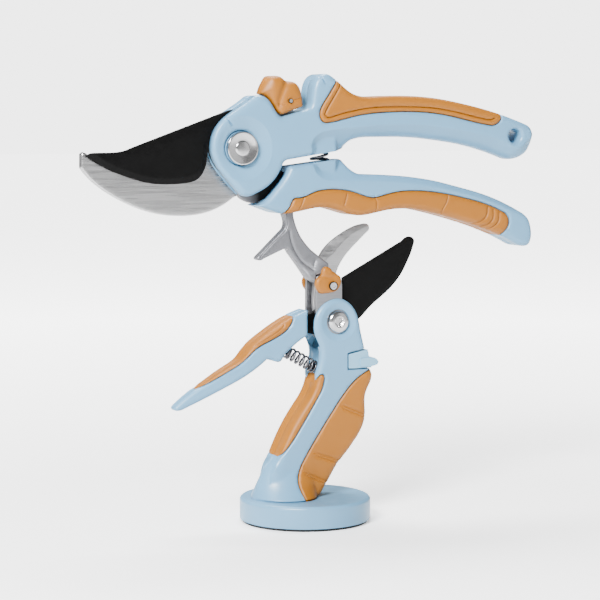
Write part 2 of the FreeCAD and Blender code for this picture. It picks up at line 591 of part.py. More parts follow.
def make_stand_pivot(bore):
    head = rod(STAND_PIVOT, (0, 0), PIVOT_HEAD_R, -8.5, -6.0)
    turns = [k * math.pi / 3 for k in range(6)]
    lobes = [rod(STAND_PIVOT, (1.7 * math.cos(t), 1.7 * math.sin(t)), 0.62, -9.0, -6.6) for t in turns]
    star = rod(STAND_PIVOT, (0, 0), 1.75, -9.0, -6.6).fuse(lobes)
    shank = rod(STAND_PIVOT, (0, 0), PIVOT_R, -6.0, 8.6)
    keep("stand_pivot_screw", head.fuse(shank).removeSplitter().cut(star))
    keep("stand_pivot_nut", hexagon(STAND_PIVOT, (0, 0), PIVOT_HEAD_R, 6.0, 8.6).cut(bore))
    front = rod(STAND_PIVOT, (0, 0), 5.6, -SIDE_PLATE_Y[0], -2.8)
    back = rod(STAND_PIVOT, (0, 0), 5.6, COUNTER_Y[1], SIDE_PLATE_Y[0])
    keep("stand_pivot_spacers", Part.makeCompound([front.cut(bore), back.cut(bore)]))


def clamp_wire():
    return outline(
        STAND_PIVOT, (-8.4, 12.7),
        (CURVE, (-10.7, 14.8), (-11.3, 17.4), (-9.8, 20.0)),
        (CURVE, (-8.3, 21.4), (-8.0, 23.2), (-6.6, 24.5), (-4.9, 24.3), (-3.3, 22.6)),
        (LINE, (-1.5, 21.7), (0.6, 20.2)),
        (CURVE, (1.1, 18.4), (0.7, 16.2), (-2.1, 13.4)),
        (LINE, (-5.2, 12.9)),
    )


def make_clamp(clamp_bore):
    """Clamp that holds the cradle arm between the side plates."""
    keep("clamp_front", slab(clamp_wire(), -CLAMP_Y[1], -CLAMP_Y[0]).cut(clamp_bore))
    keep("clamp_back", slab(clamp_wire(), *CLAMP_Y).cut(clamp_bore))
    head = rod(STAND_PIVOT, CLAMP_SCREW, 2.0, -9.2, -8.3)
    socket = hexagon(STAND_PIVOT, CLAMP_SCREW, 1.0, -9.6, -8.6)
    shank = rod(STAND_PIVOT, CLAMP_SCREW, CLAMP_SCREW_R, -8.3, 9.6)
    keep("clamp_screw", head.fuse(shank).removeSplitter().cut(socket))
    keep("clamp_nut", hexagon(STAND_PIVOT, CLAMP_SCREW, 2.9, 8.3, 9.8).cut(clamp_bore))
    spacer = rod(STAND_PIVOT, CLAMP_SCREW, 2.6, COUNTER_Y[1], SIDE_PLATE_Y[0])
    keep("clamp_spacer", spacer.cut(clamp_bore))


def make_arm(clamp_bore):
    """Forked cradle arm: its tongue carries the large shears and its foot is clamped."""
    low, high = TONGUE_X
    wire = outline(
        STAND_PIVOT, (low, TONGUE_TOP),
        (LINE, (high, TONGUE_TOP), (high, 47.0)),
        (CURVE, (-18.2, 42.2), (-15.8, 37.4), (-12.2, 33.0), (-7.6, 28.7), (-4.1, 25.8)),
        (LINE, (-4.1, 20.0), (-7.0, 17.2), (-10.2, 17.2)),
        (LINE, (-12.9, 19.2), (-16.4, 24.1), (-22.0, 31.4)),
        (CURVE, (-22.7, 32.5), (-24.0, 32.6)),
        (LINE, (-34.0, 28.4)),
        (CURVE, (-36.2, 27.9), (-37.1, 28.4), (-36.8, 29.4)),
        (LINE, (-25.0, 40.4)),
        (CURVE, (-23.6, 42.2), (-23.4, 44.4), (low, 47.6)),
    )
    arm = slab(wire, *ARM_Y)
    hook_step = slab(polygon(STAND_PIVOT, (-12.0, 31.0), (10, 31.0), (10, 10), (-12.0, 10)), 0.0, FAR)
    foot = slab(polygon(STAND_PIVOT, (-10.2, 17.2), (-12.9, 19.2), (-9.4, 24.0), (-4.1, 24.0), (-4.1, 19.6),
                        (-7.0, 17.2)), EAR_Y[0], 0.0)
    ear = slab(polygon(STAND_PIVOT, (-10.0, 17.4), (-7.6, 13.6), (-3.6, 12.9), (-0.6, 14.6), (-0.4, 18.0),
                       (-4.1, 23.0)), *EAR_Y)
    boss = slab(polygon(STAND_PIVOT, (-4.1, 21.2), (-10.6, 21.2), (-10.6, 17.5), (-12.9, 19.2), (-17.8, 26.0),
                        (-10.5, 31.5), (-4.1, 25.8)), -SIDE_PLATE_Y[1], 0.0)
    keep("cradle_arm", arm.cut(hook_step).fuse([foot, ear, boss]).removeSplitter().cut(clamp_bore))


def make_lever():
    block = lever_block()
    grip = soft_grip(block, lever_grip_zone(), (0.6, -1.5), LEVER_HALF - 1.5)
    body = block.cut(grip)
    blade = slab(stand_blade_wire(), *STAND_BLADE_Y)
    blade = blade.cut(rod(STAND_PIVOT, (0, 0), PIVOT_R + RUNNING, -FAR, FAR))
    rivets = Part.makeCompound([rod(STAND_PIVOT, p, 1.2, -4.4, LEVER_HALF) for p in LEVER_RIVETS])
    keep("lever_front", half(body, -1).cut([blade, rivets]))
    keep("lever_back", half(body, 1).cut(rivets))
    keep("lever_grip", grip)
    keep("stand_cutting_blade", blade.cut(rivets))
    keep("lever_rivets", rivets)
    base, tip = small_spring_point(-0.6), small_spring_point(3.0)
    stud = Part.makeCylinder(1.5, (tip - base).Length, base, tip - base)
    keep("spring_stud_lever", stud.cut(block))


def make_small_spring():
    start, end = (at(STAND_PIVOT, p) for p in SMALL_SPRING_ENDS)
    length = (end - start).Length
    wire_room = SMALL_WIRE_R + 0.05
    keep("stand_spring", coil(small_spring_point(wire_room), small_spring_point(length - wire_room),
                              SMALL_SPRING_R, SMALL_WIRE_R, 8))
    base = small_spring_point(length - 3.0)
    stud = Part.makeCylinder(1.5, 3.0, base, end - base)
    keep("spring_stud_stand", stud.cut([PARTS["stand_handle_front"], PARTS["stand_handle_back"]]))


def make_lock():
    """Cross bolt with a thumb fin: it slides through the handle along Y."""
    bolt = slab(polygon(STAND_PIVOT, (4.8, -14.6), (14.0, -12.8), (15.9, -20.9), (4.8, -20.9)), -7.9, 7.9)
    fin = outline(
        STAND_PIVOT, (10.2, -16.6),
        (LINE, (15.4, -16.2)),
        (CURVE, (17.8, -17.0), (18.9, -18.4), (17.8, -19.8)),
        (LINE, (15.2, -20.4), (10.2, -20.2)),
    )
    keep("lock_bolt", bolt.fuse(slab(fin, -8.8, -4.0)).removeSplitter())


ANCHORS = ((-13.5, 5.0), (-13.5, -5.0), (-3.0, 0.0))


def anchor_screw(x, y):
    """Screw from below the foot into the handle."""
    up = FreeCAD.Vector(0, 0, 1)
    head = Part.makeCylinder(3.2, 1.5, FreeCAD.Vector(x, y, PAD_TOP), up)
    shank = Part.makeCylinder(1.7, FOOT_TOP + 5.0 - PLATE_TOP, FreeCAD.Vector(x, y, PLATE_TOP), up)
    return head.fuse(shank).removeSplitter()


def make_foot():
    up = FreeCAD.Vector(0, 0, 1)
    shell = Part.makeCylinder(FOOT_R, FOOT_TOP - PAD_TOP, FreeCAD.Vector(0, 0, PAD_TOP), up)
    rims = [e for e in shell.Edges if e.BoundBox.ZMin > FOOT_TOP - 0.01]
    shell = shell.makeFillet(1.6, rims)
    plate = Part.makeCylinder(FOOT_R - 1.5, PLATE_TOP - PAD_TOP, FreeCAD.Vector(0, 0, PAD_TOP), up)
    weight = Part.makeCylinder(WEIGHT_R, WEIGHT_TOP - PLATE_TOP, FreeCAD.Vector(0, 0, PLATE_TOP), up)
    pad = Part.makeCylinder(FOOT_R - 1.2, PAD_TOP, FreeCAD.Vector(0, 0, 0), up)
    notch = Part.makeBox(3.4, 3.0, PAD_TOP, FreeCAD.Vector(-11.5, -FOOT_R, 0))
    screws = [anchor_screw(x, y) for x, y in ANCHORS]
    keep("foot_shell", shell.cut([plate, weight, *screws]))
    keep("foot_weight", weight.cut(screws))
    keep("foot_plate", plate.cut(screws))
    keep("foot_pad", pad.cut(notch))
    keep("foot_screws", Part.makeCompound(screws))


make_upper_arm(make_pivot())
make_latch()
make_lower_arm()
pivot_bore, clamp_hole = make_stand_handle()
make_stand_pivot(pivot_bore)
make_clamp(clamp_hole)
make_arm(clamp_hole)
make_lever()
make_small_spring()
make_lock()
make_foot()

for name, shape in PARTS.items():
    shape.exportStep(f"parts/{name}.step")
    print(f"{name}: {len(shape.Solids)} solid(s), {shape.Volume:.0f} mm3, valid {shape.isValid()}")
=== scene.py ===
"""Looks of the pruning shears on their stand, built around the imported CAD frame.

Modelling is in millimetres in the frame's own x, y, z, and meshes are scaled to metres as they are made.
A moulded or cast piece is made in two steps: a smooth solid with rounded rims, creases and grooves is raised
over the piece's outline, and what the CAD node and that solid have in common is kept, so that every pocket,
bore and seam stays where the CAD has it.
"""
import json
import math

import bmesh
import bpy
import numpy as np
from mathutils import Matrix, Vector
from mathutils.geometry import delaunay_2d_cdt

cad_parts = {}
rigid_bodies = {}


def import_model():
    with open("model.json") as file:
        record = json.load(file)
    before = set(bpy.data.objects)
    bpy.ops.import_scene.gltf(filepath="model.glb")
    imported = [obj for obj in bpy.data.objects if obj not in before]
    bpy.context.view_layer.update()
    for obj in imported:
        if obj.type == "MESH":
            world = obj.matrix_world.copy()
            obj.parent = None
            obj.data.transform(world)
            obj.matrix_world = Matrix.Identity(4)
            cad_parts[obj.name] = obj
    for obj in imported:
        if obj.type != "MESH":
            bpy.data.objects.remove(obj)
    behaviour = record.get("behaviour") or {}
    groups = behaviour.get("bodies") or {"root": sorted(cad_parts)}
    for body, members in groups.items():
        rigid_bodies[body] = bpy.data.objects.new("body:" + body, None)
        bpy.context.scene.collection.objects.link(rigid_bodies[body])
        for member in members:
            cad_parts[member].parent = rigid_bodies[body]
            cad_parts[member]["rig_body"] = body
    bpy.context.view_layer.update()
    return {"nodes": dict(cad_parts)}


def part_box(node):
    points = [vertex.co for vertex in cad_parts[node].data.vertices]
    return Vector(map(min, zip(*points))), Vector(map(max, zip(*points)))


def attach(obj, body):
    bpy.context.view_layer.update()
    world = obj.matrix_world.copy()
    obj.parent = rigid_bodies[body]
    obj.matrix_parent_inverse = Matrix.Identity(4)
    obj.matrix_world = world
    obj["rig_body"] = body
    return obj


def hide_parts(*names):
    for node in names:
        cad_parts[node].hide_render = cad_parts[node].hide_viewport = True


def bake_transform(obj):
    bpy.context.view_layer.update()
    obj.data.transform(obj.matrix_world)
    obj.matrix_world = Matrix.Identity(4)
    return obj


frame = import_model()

MM = 0.001
MAIN_PIVOT = np.array((-33.0, 165.0))
STAND_PIVOT = np.array((13.0, 88.4))
STEP = 0.55                    # spacing of the points along an outline
GRID = 1.1                     # spacing of the points inside an outline
RIM_STEPS = 7                  # rings of points over a rounded rim
PARTING_WIDTH = 0.16
INSET = 0.03                   # how far a formed solid stays inside the walls of its CAD node
TOUCH = 0.12                   # two outlines closer than this are touching
OFF_POINTS = 0.0037            # keeps the plane of a section off the mesh's own points


# ---- paths and outlines: arrays of (x, z) ----

def joined(node):
    """The mesh of a CAD node with its split corners joined, as a bmesh in metres."""
    bm = bmesh.new()
    bm.from_mesh(frame["nodes"][node].data)
    bmesh.ops.remove_doubles(bm, verts=bm.verts, dist=2e-6)
    return bm


def section(node, y):
    """Closed loops where the plane at y cuts a CAD node, longest first."""
    bm = joined(node)
    level = (y + OFF_POINTS) * MM
    cuts = {}
    for edge in bm.edges:
        a, b = (v.co for v in edge.verts)
        if (a.y - level) * (b.y - level) < 0:
            p = a.lerp(b, (level - a.y) / (b.y - a.y))
            cuts[edge.index] = (p.x / MM, p.z / MM)
    links = {}
    for face in bm.faces:
        crossed = [e.index for e in face.edges if e.index in cuts]
        if len(crossed) == 2:
            links.setdefault(crossed[0], []).append(crossed[1])
            links.setdefault(crossed[1], []).append(crossed[0])
    bm.free()
    loops = []
    while links:
        here, ways = links.popitem()
        loop = [here]
        while ways:
            here = ways[0]
            loop.append(here)
            ways = [w for w in links.pop(here, []) if w in links]
        loops.append(np.array([cuts[i] for i in loop]))
    return sorted(loops, key=lambda loop: -path_length(loop))


def path_length(path):
    return float(np.hypot(*np.diff(path, axis=0).T).sum())


def closed(loop):
    return np.vstack([loop, loop[:1]])


def spaced(path, step):
    """Points evenly spaced along a path, its two ends kept."""
    along = np.concatenate([[0], np.cumsum(np.hypot(*np.diff(path, axis=0).T))])
    count = max(1, round(along[-1] / step))
    at = np.linspace(0, along[-1], count + 1)
    return np.stack([np.interp(at, along, path[:, 0]), np.interp(at, along, path[:, 1])], 1)


def relaxed(path, rounds=8):
    """A path with its small kinks taken out, its two ends kept."""
    path = path.copy()
    for i in range(2 * rounds):
        weight = 0.5 if i % 2 == 0 else -0.53
        path[1:-1] += weight * ((path[:-2] + path[2:]) / 2 - path[1:-1])
    return path


def even_loop(loop, step=STEP, corner=math.radians(33)):
    """A closed loop with evenly spaced points, smooth between its corners."""
    keep = [loop[0]]
    for p in loop[1:]:
        if np.hypot(*(p - keep[-1])) > 0.02:
            keep.append(p)
    loop = np.array(keep)
    before, after = loop - np.roll(loop, 1, 0), np.roll(loop, -1, 0) - loop
    cross = before[:, 0] * after[:, 1] - before[:, 1] * after[:, 0]
    turn = np.abs(np.arctan2(cross, (before * after).sum(1)))
    corners = list(np.nonzero(turn > corner)[0])
    if not corners:
        wrapped = spaced(closed(loop), step)[:-1]
        margin = 12
        path = relaxed(np.vstack([wrapped[-margin:], wrapped, wrapped[:margin]]))
        return path[margin:-margin]
    pieces = []
    for a, b in zip(corners, corners[1:] + [corners[0] + len(loop)]):
        run = loop[[i % len(loop) for i in range(a, b + 1)]]
        pieces.append(relaxed(spaced(run, step))[:-1])
    return np.vstack(pieces)


def curve(pivot, *points, step=0.45):
    """A smooth path through points given from a pivot."""
    p = np.array(points, float)
    ends = np.vstack([2 * p[0] - p[1], p, 2 * p[-1] - p[-2]])
    out = []
    for a, b, c, d in zip(ends, ends[1:], ends[2:], ends[3:]):
        for t in np.linspace(0, 1, 24, endpoint=False):
            out.append(0.5 * (2 * b + (c - a) * t + (2 * a - 5 * b + 4 * c - d) * t * t
                              + (3 * b - a - 3 * c + d) * t ** 3))
    out.append(p[-1])
    return spaced(np.array(out), step) + pivot


def circle(centre, radius, step=0.6):
    count = max(12, round(2 * math.pi * radius / step))
    turn = np.linspace(0, 2 * math.pi, count + 1)
    return np.stack([centre[0] + radius * np.cos(turn), centre[1] + radius * np.sin(turn)], 1)


def measure(points, path):
    """Distance of each point from a path, and the side that it lies on: 1 left of the way it runs, or -1."""
    best = np.full(len(points), 1e9)
    side = np.ones(len(points))
    for start, end in zip(path[:-1], path[1:]):
        way = end - start
        away = points - start
        share = np.clip((away @ way) / max(way @ way, 1e-12), 0, 1)
        off = away - share[:, None] * way
        gap = np.hypot(off[:, 0], off[:, 1])
        nearer = gap < best
        best = np.where(nearer, gap, best)
        cross = way[0] * away[:, 1] - way[1] * away[:, 0]
        side = np.where(nearer, np.where(cross >= 0, 1.0, -1.0), side)
    return best, side


def inside(points, loop):
    """Whether each point is inside a closed loop."""
    odd = np.zeros(len(points), bool)
    x, z = points[:, 0], points[:, 1]
    for (x0, z0), (x1, z1) in zip(loop, np.roll(loop, -1, 0)):
        if z0 != z1:
            odd ^= ((z0 > z) != (z1 > z)) & (x < (x1 - x0) * (z - z0) / (z1 - z0) + x0)
    return odd


def inward(loop):
    """Unit normals of a closed loop, pointing into its area."""
    way = np.roll(loop, -1, 0) - np.roll(loop, 1, 0)
    way /= np.maximum(np.hypot(way[:, 0], way[:, 1]), 1e-9)[:, None]
    area = (loop[:, 0] * np.roll(loop[:, 1], -1) - np.roll(loop[:, 0], -1) * loop[:, 1]).sum()
    return np.stack([-way[:, 1], way[:, 0]], 1) * (1 if area > 0 else -1)


def shared_outline(node, others, y):
    """The outline round a node and the grips let into it, and the seams between them."""
    loops = [even_loop(section(node, y)[0])]
    loops += [even_loop(section(other, y)[0]) for other in others]
    runs, seams = [], []
    for i, loop in enumerate(loops):
        rest = [closed(other) for j, other in enumerate(loops) if j != i]
        gap = np.min([measure(loop, other)[0] for other in rest], axis=0)
        touching = gap < TOUCH
        start = next(k for k in range(len(loop)) if touching[k] and not touching[k - 1])
        order = [(start + k) % len(loop) for k in range(len(loop))]
        group, state = [], True
        for k in order + [order[0]]:
            if touching[k] != state or k == order[0] and group:
                if len(group) > 2:
                    (seams if state else runs).append(loop[group])
                group, state = [], touching[k]
            group.append(k)
    chain = list(runs.pop(0))
    while runs:
        ends = [(min(np.hypot(*(r[0] - chain[-1])), np.hypot(*(r[-1] - chain[-1]))), n)
                for n, r in enumerate(runs)]
        run = runs.pop(min(ends)[1])
        if np.hypot(*(run[-1] - chain[-1])) < np.hypot(*(run[0] - chain[-1])):
            run = run[::-1]
        chain += list(run)
    return even_loop(np.array(chain)), seams


# ---- profiles: heights and depths over an array of points ----

def ease(low, high, value):
    """0 below low, 1 above high, and a smooth change between."""
    share = np.clip((value - low) / (high - low), 0, 1)
    return share * share * (3 - 2 * share)


def fall(distance, radius, drop):
    """How far a rounded rim has fallen at that distance from its edge."""
    share = np.clip(1 - distance / radius, 0, 1)
    return drop * (1 - np.sqrt(1 - share * share))


def past(value, bend=0.3):
    """The value where it is above 0 and 0 below, with a soft bend between."""
    return (value + np.sqrt(value * value + bend * bend)) / 2


def groove(points, paths, width, depth):
    """Depth of rounded grooves that follow paths."""
    total = np.zeros(len(points))
    for path in paths:
        gap = measure(points, path)[0]
        total = np.maximum(total, depth * np.clip(1 - gap / width, 0, 1) ** 1.6)
    return total


# ---- meshes ----

def shape(name, verts, faces):
    """A smooth-shaded object from vertices in millimetres."""
    mesh = bpy.data.meshes.new(name)
    mesh.from_pydata([[c * MM for c in v] for v in verts], [], faces)
    bm = bmesh.new()
    bm.from_mesh(mesh)
    bmesh.ops.recalc_face_normals(bm, faces=bm.faces)
    bm.to_mesh(mesh)
    bm.free()
    obj = bpy.data.objects.new(name, mesh)
    bpy.context.scene.collection.objects.link(obj)
    return obj


def spread(loop, rim, lines):
    """Points over the area inside a loop: along the lines, in rings beside the edge, and on a grid."""
    edge = closed(loop)
    points, cells = [tuple(p) for p in loop], {}

    def place(candidates, gap, clear):
        candidates = candidates[inside(candidates, loop)]
        for p, room in zip(candidates, measure(candidates, edge)[0]):
            cell = (int(p[0] // GRID), int(p[1] // GRID))
            around = [(cell[0] + i, cell[1] + j) for i in (-1, 0, 1) for j in (-1, 0, 1)]
            near = [q for key in around for q in cells.get(key, ())]
            if room > clear and all(math.dist(p, q) > gap for q in near):
                cells.setdefault(cell, []).append(p)
                points.append(tuple(p))

    for path, offsets in lines:
        way = np.gradient(path, axis=0)
        way /= np.maximum(np.hypot(way[:, 0], way[:, 1]), 1e-9)[:, None]
        across = np.stack([-way[:, 1], way[:, 0]], 1)
        for offset in sorted({o * s for o in offsets for s in (-1, 1)}, key=abs):
            place(path + offset * across, 0.11, 0.1)
    normals, last = inward(loop), 0.0
    for k in range(1, RIM_STEPS + 1):
        ring = rim * (1 - math.cos(math.pi / 2 * k / RIM_STEPS))
        place(loop + ring * normals, min(0.3, 0.45 * (ring - last)), 0.93 * ring)
        last = ring
    low, high = loop.min(0), loop.max(0)
    xs, zs = np.meshgrid(np.arange(low[0], high[0], GRID), np.arange(low[1], high[1], GRID * math.sqrt(0.75)))
    xs[1::2] += GRID / 2
    place(np.stack([xs.ravel(), zs.ravel()], 1), 0.6 * GRID, last + 0.3)
    return points


def raised(name, loop, front, back, rim=2.5, lines=(), parting=0.0):
    """Closed solid over an outline. front and back give how far its two faces stand from y = 0 at each point,
    from the points and their distances to the edge. parting is the depth of a groove round its middle."""
    loop = loop + INSET * inward(loop)
    points = spread(loop, rim, lines)
    ring = [(i, (i + 1) % len(loop)) for i in range(len(loop))]
    flat, _, faces, _, _, _ = delaunay_2d_cdt([Vector(p) for p in points], ring, [], 1, 1e-5)
    flat = np.array([tuple(v) for v in flat])
    distance = measure(flat, closed(loop))[0]
    near_y = -front(flat, distance)
    far_y = -near_y if back is front else back(flat, distance)
    count = len(flat)
    verts = [(x, y, z) for (x, z), y in zip(flat, near_y)] + [(x, y, z) for (x, z), y in zip(flat, far_y)]
    sides = {}
    for face in faces:
        for a, b in zip(face, face[1:] + face[:1]):
            sides[(a, b)] = True
    rim_edges = [(a, b) for a, b in sides if (b, a) not in sides]
    skins = [tuple(f) for f in faces] + [tuple(count + i for i in reversed(f)) for f in faces]
    levels = ((-PARTING_WIDTH, 0.0), (0.0, parting), (PARTING_WIDTH, 0.0)) if parting else ()
    columns = {}
    normals = inward(loop)
    for a, _ in rim_edges:
        nearest = int(np.argmin(np.hypot(*(loop - flat[a]).T)))
        column = [a]
        for y, depth in levels:
            x, z = flat[a] + depth * normals[nearest]
            column.append(len(verts))
            verts.append((x, y, z))
        columns[a] = column + [count + a]
    for a, b in rim_edges:
        for low in range(len(columns[a]) - 1):
            skins.append((columns[b][low], columns[a][low], columns[a][low + 1], columns[b][low + 1]))
    return shape(name, verts, skins)


def finish_mesh(obj, look, angle=38):
    """Smooth shading with crisp edges above an angle, and one material."""
    mesh = obj.data
    mesh.shade_smooth()
    mesh.set_sharp_from_angle(angle=math.radians(angle))
    mesh.materials.clear()
    mesh.materials.append(look.made)


def common(name, node, solid):
    """What a CAD node and a solid have in common, as a new object."""
    mesh = bpy.data.meshes.new(name)
    bm = joined(node)
    bm.to_mesh(mesh)
    bm.free()
    obj = bpy.data.objects.new(name, mesh)
    bpy.context.scene.collection.objects.link(obj)
    cut = obj.modifiers.new("common", "BOOLEAN")
    cut.operation = "INTERSECT"
    cut.solver = "MANIFOLD"
    cut.object = solid
    bpy.context.view_layer.update()
    obj.data = bpy.data.meshes.new_from_object(obj.evaluated_get(bpy.context.evaluated_depsgraph_get()))
    obj.modifiers.clear()
    obj.data.name = name
    bpy.data.meshes.remove(mesh)
    return obj


def stand_for(obj, node):
    """obj takes the place of a CAD node, on that node's body."""
    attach(obj, frame["nodes"][node]["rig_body"])
    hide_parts(node)


def form(solid, **finishes):
    """Make each named CAD node's formed piece from one solid. finishes gives node: (look, slot); the slot is
    not used.
    """
    for node, (look, slot) in finishes.items():
        obj = common(f"{node}_formed", node, solid)
        if not len(obj.data.polygons):
            raise RuntimeError(f"{node}: the solid and the node have nothing in common")
        finish_mesh(obj, look)
        stand_for(obj, node)
    bpy.data.objects.remove(solid)


# ---- materials ----

class Look:
    """One procedural material. Coordinates are millimetres of the frame."""

    def __init__(self, name, colour, roughness, metallic=0.0, specular=0.5):
        self.made = bpy.data.materials.new(name)
        self.made.use_nodes = True
        self.tree = self.made.node_tree
        self.shader = self.tree.nodes["Principled BSDF"]
        self.shader.inputs["Base Color"].default_value = (*colour, 1)
        self.shader.inputs["Roughness"].default_value = roughness
        self.shader.inputs["Metallic"].default_value = metallic
        self.shader.inputs["Specular IOR Level"].default_value = specular
        self.colour = colour
        self.place = self.tree.nodes.new("ShaderNodeTexCoord").outputs["Object"]

    def node(self, kind, inputs=(), **settings):
        node = self.tree.nodes.new(kind)
        for key, value in settings.items():
            setattr(node, key, value)
        for key, value in dict(inputs).items():
            if isinstance(value, bpy.types.NodeSocket):
                self.tree.links.new(value, node.inputs[key])
            else:
                node.inputs[key].default_value = value
        return node

    def maths(self, operation, a, b=0.0):
        return self.node("ShaderNodeMath", {0: a, 1: b}, operation=operation).outputs[0]

    def stretched(self, turn=0.0, scale=(1, 1, 1)):
        """The place, turned about Y and scaled, so that noise on it becomes streaks."""
        mapping = self.node("ShaderNodeMapping", {"Vector": self.place})
        mapping.inputs["Rotation"].default_value = (0, turn, 0)
        mapping.inputs["Scale"].default_value = scale
        return mapping.outputs[0]

    def noise(self, size, detail=2.0, place=None):
        """Noise whose features are about size millimetres across."""
        inputs = {"Vector": place or self.place, "Scale": 1 / (size * MM), "Detail": detail}
        return self.node("ShaderNodeTexNoise", inputs).outputs["Fac"]

    def spread(self, value, low, high, start=0.3, end=0.7):
        inputs = {"Value": value, "From Min": start, "From Max": end, "To Min": low, "To Max": high}
        return self.node("ShaderNodeMapRange", inputs).outputs[0]

    def tint(self, value, low, high):
        """Base colour between low and high times the material's own, as value goes from 0 to 1."""
        mix = self.node("ShaderNodeMix", {"Factor": value}, data_type="RGBA")
        mix.inputs["A"].default_value = (*[c * low for c in self.colour], 1)
        mix.inputs["B"].default_value = (*[min(1, c * high) for c in self.colour], 1)
        self.tree.links.new(mix.outputs["Result"], self.shader.inputs["Base Color"])
        return self

    def patch(self, value, colour):
        """Another base colour where value is 1."""
        source = self.shader.inputs["Base Color"].links[0].from_socket
        mix = self.node("ShaderNodeMix", {"Factor": value, "A": source}, data_type="RGBA")
        mix.inputs["B"].default_value = (*colour, 1)
        self.tree.links.new(mix.outputs["Result"], self.shader.inputs["Base Color"])
        return self

    def gloss(self, value, low, high):
        self.tree.links.new(self.spread(value, low, high), self.shader.inputs["Roughness"])
        return self

    def bump(self, value, depth):
        """Relief of that depth in millimetres."""
        inputs = {"Height": value, "Distance": depth * MM}
        before = self.shader.inputs["Normal"].links
        if before:
            inputs["Normal"] = before[0].from_socket
        self.tree.links.new(self.node("ShaderNodeBump", inputs).outputs[0], self.shader.inputs["Normal"])
        return self

    def radius(self, pivot):
        """Distance from the line through a pivot along Y."""
        split = self.node("ShaderNodeSeparateXYZ", {"Vector": self.place}).outputs
        x = self.maths("SUBTRACT", split["X"], pivot[0] * MM)
        z = self.maths("SUBTRACT", split["Z"], pivot[1] * MM)
        squares = self.maths("ADD", self.maths("MULTIPLY", x, x), self.maths("MULTIPLY", z, z))
        return self.maths("SQRT", squares)


def moulded(name, colour, roughness, grain=0.22, depth=0.02, specular=0.5):
    """Injection-moulded plastic: a fine spark-eroded grain, and slight unevenness in colour and gloss."""
    look = Look(name, colour, roughness, specular=specular)
    look.tint(look.noise(14, 3), 0.96, 1.04)
    look.gloss(look.noise(5, 4), roughness - 0.05, roughness + 0.05)
    look.bump(look.noise(grain, 2), depth)
    look.bump(look.noise(9, 1), 0.05)
    return look


def brushed(name, colour, roughness, turn, depth=0.006, tone=0.10):
    """Ground steel: long fine streaks in one direction."""
    look = Look(name, colour, roughness, metallic=1.0)
    fine = look.noise(0.30, 3, look.stretched(turn, (0.035, 1, 1)))
    broad = look.noise(1.3, 2, look.stretched(turn, (0.05, 1, 1)))
    look.tint(fine, 1 - tone, 1 + tone)
    look.gloss(broad, roughness - 0.07, roughness + 0.09)
    look.bump(fine, depth)
    look.shader.inputs["Anisotropic"].default_value = 0.35
    return look


def turned_steel(name, pivot, colour=(0.55, 0.55, 0.56), roughness=0.18):
    """Steel turned on a lathe: fine rings round a pivot."""
    look = Look(name, colour, roughness, metallic=1.0)
    rings = look.node("ShaderNodeCombineXYZ", {"X": look.radius(pivot)}).outputs[0]
    fine = look.noise(0.16, 2, rings)
    look.tint(fine, 0.86, 1.06)
    look.gloss(look.noise(1.5, 3), roughness - 0.06, roughness + 0.08)
    look.bump(fine, 0.010)
    return look


def blasted(name, colour, roughness, metallic, grain=0.35, depth=0.03):
    """Cast and bead-blasted metal."""
    look = Look(name, colour, roughness, metallic=metallic)
    look.tint(look.noise(1.1, 4), 0.86, 1.12)
    look.gloss(look.noise(2.5, 3), roughness - 0.06, roughness + 0.08)
    look.bump(look.noise(grain, 3), depth)
    return look


def screw_head(name, node, face_radius):
    """Bright steel, painted near black beyond the head's face radius: painted shade of the gap round a screw
    or pin.
    """
    low, high = (np.array((corner.x, corner.z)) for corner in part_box(node))
    look = blasted(name, (0.60, 0.60, 0.61), 0.26, 1.0, grain=0.2, depth=0.006)
    away = look.radius((low + high) / 2 / MM)
    # Painted shade: near black beyond the face radius, where the gap round the head lies in shade.
    gap = look.spread(away, 0.0, 1.0, (face_radius - 0.12) * MM, face_radius * MM)
    return look.patch(gap, (0.02, 0.02, 0.02))


def coated():
    """Matt black non-stick coating, with a grey patch like bare steel on the blade's neck below the hub; its
    fade to black towards the right and up to the hub is painted shade of the neck lying between the boss and
    the lower handle.
    """
    look = Look("coated_blade", (0.0018, 0.0018, 0.0018), 0.44, specular=0.08)
    look.tint(look.noise(6, 4), 0.8, 1.35)
    look.gloss(look.noise(3, 4), 0.40, 0.54)
    look.bump(look.noise(0.25, 3), 0.012)
    look.bump(look.noise(1.6, 2, look.stretched(0.4, (0.2, 1, 1))), 0.02)
    # Painted shade: the grey patch fades into the black towards the right and upwards, where the neck lies in
    # shade between the boss and the lower handle.
    split = look.node("ShaderNodeSeparateXYZ", {"Vector": look.place}).outputs
    low = look.spread(split["Z"], 1.0, 0.0, (MAIN_PIVOT[1] - 20.4) * MM, (MAIN_PIVOT[1] - 17.0) * MM)
    left = look.spread(split["X"], 1.0, 0.0, (MAIN_PIVOT[0] + 2.5) * MM, (MAIN_PIVOT[0] + 10.0) * MM)
    return look.patch(look.maths("MULTIPLY", low, left), (0.16, 0.16, 0.17))


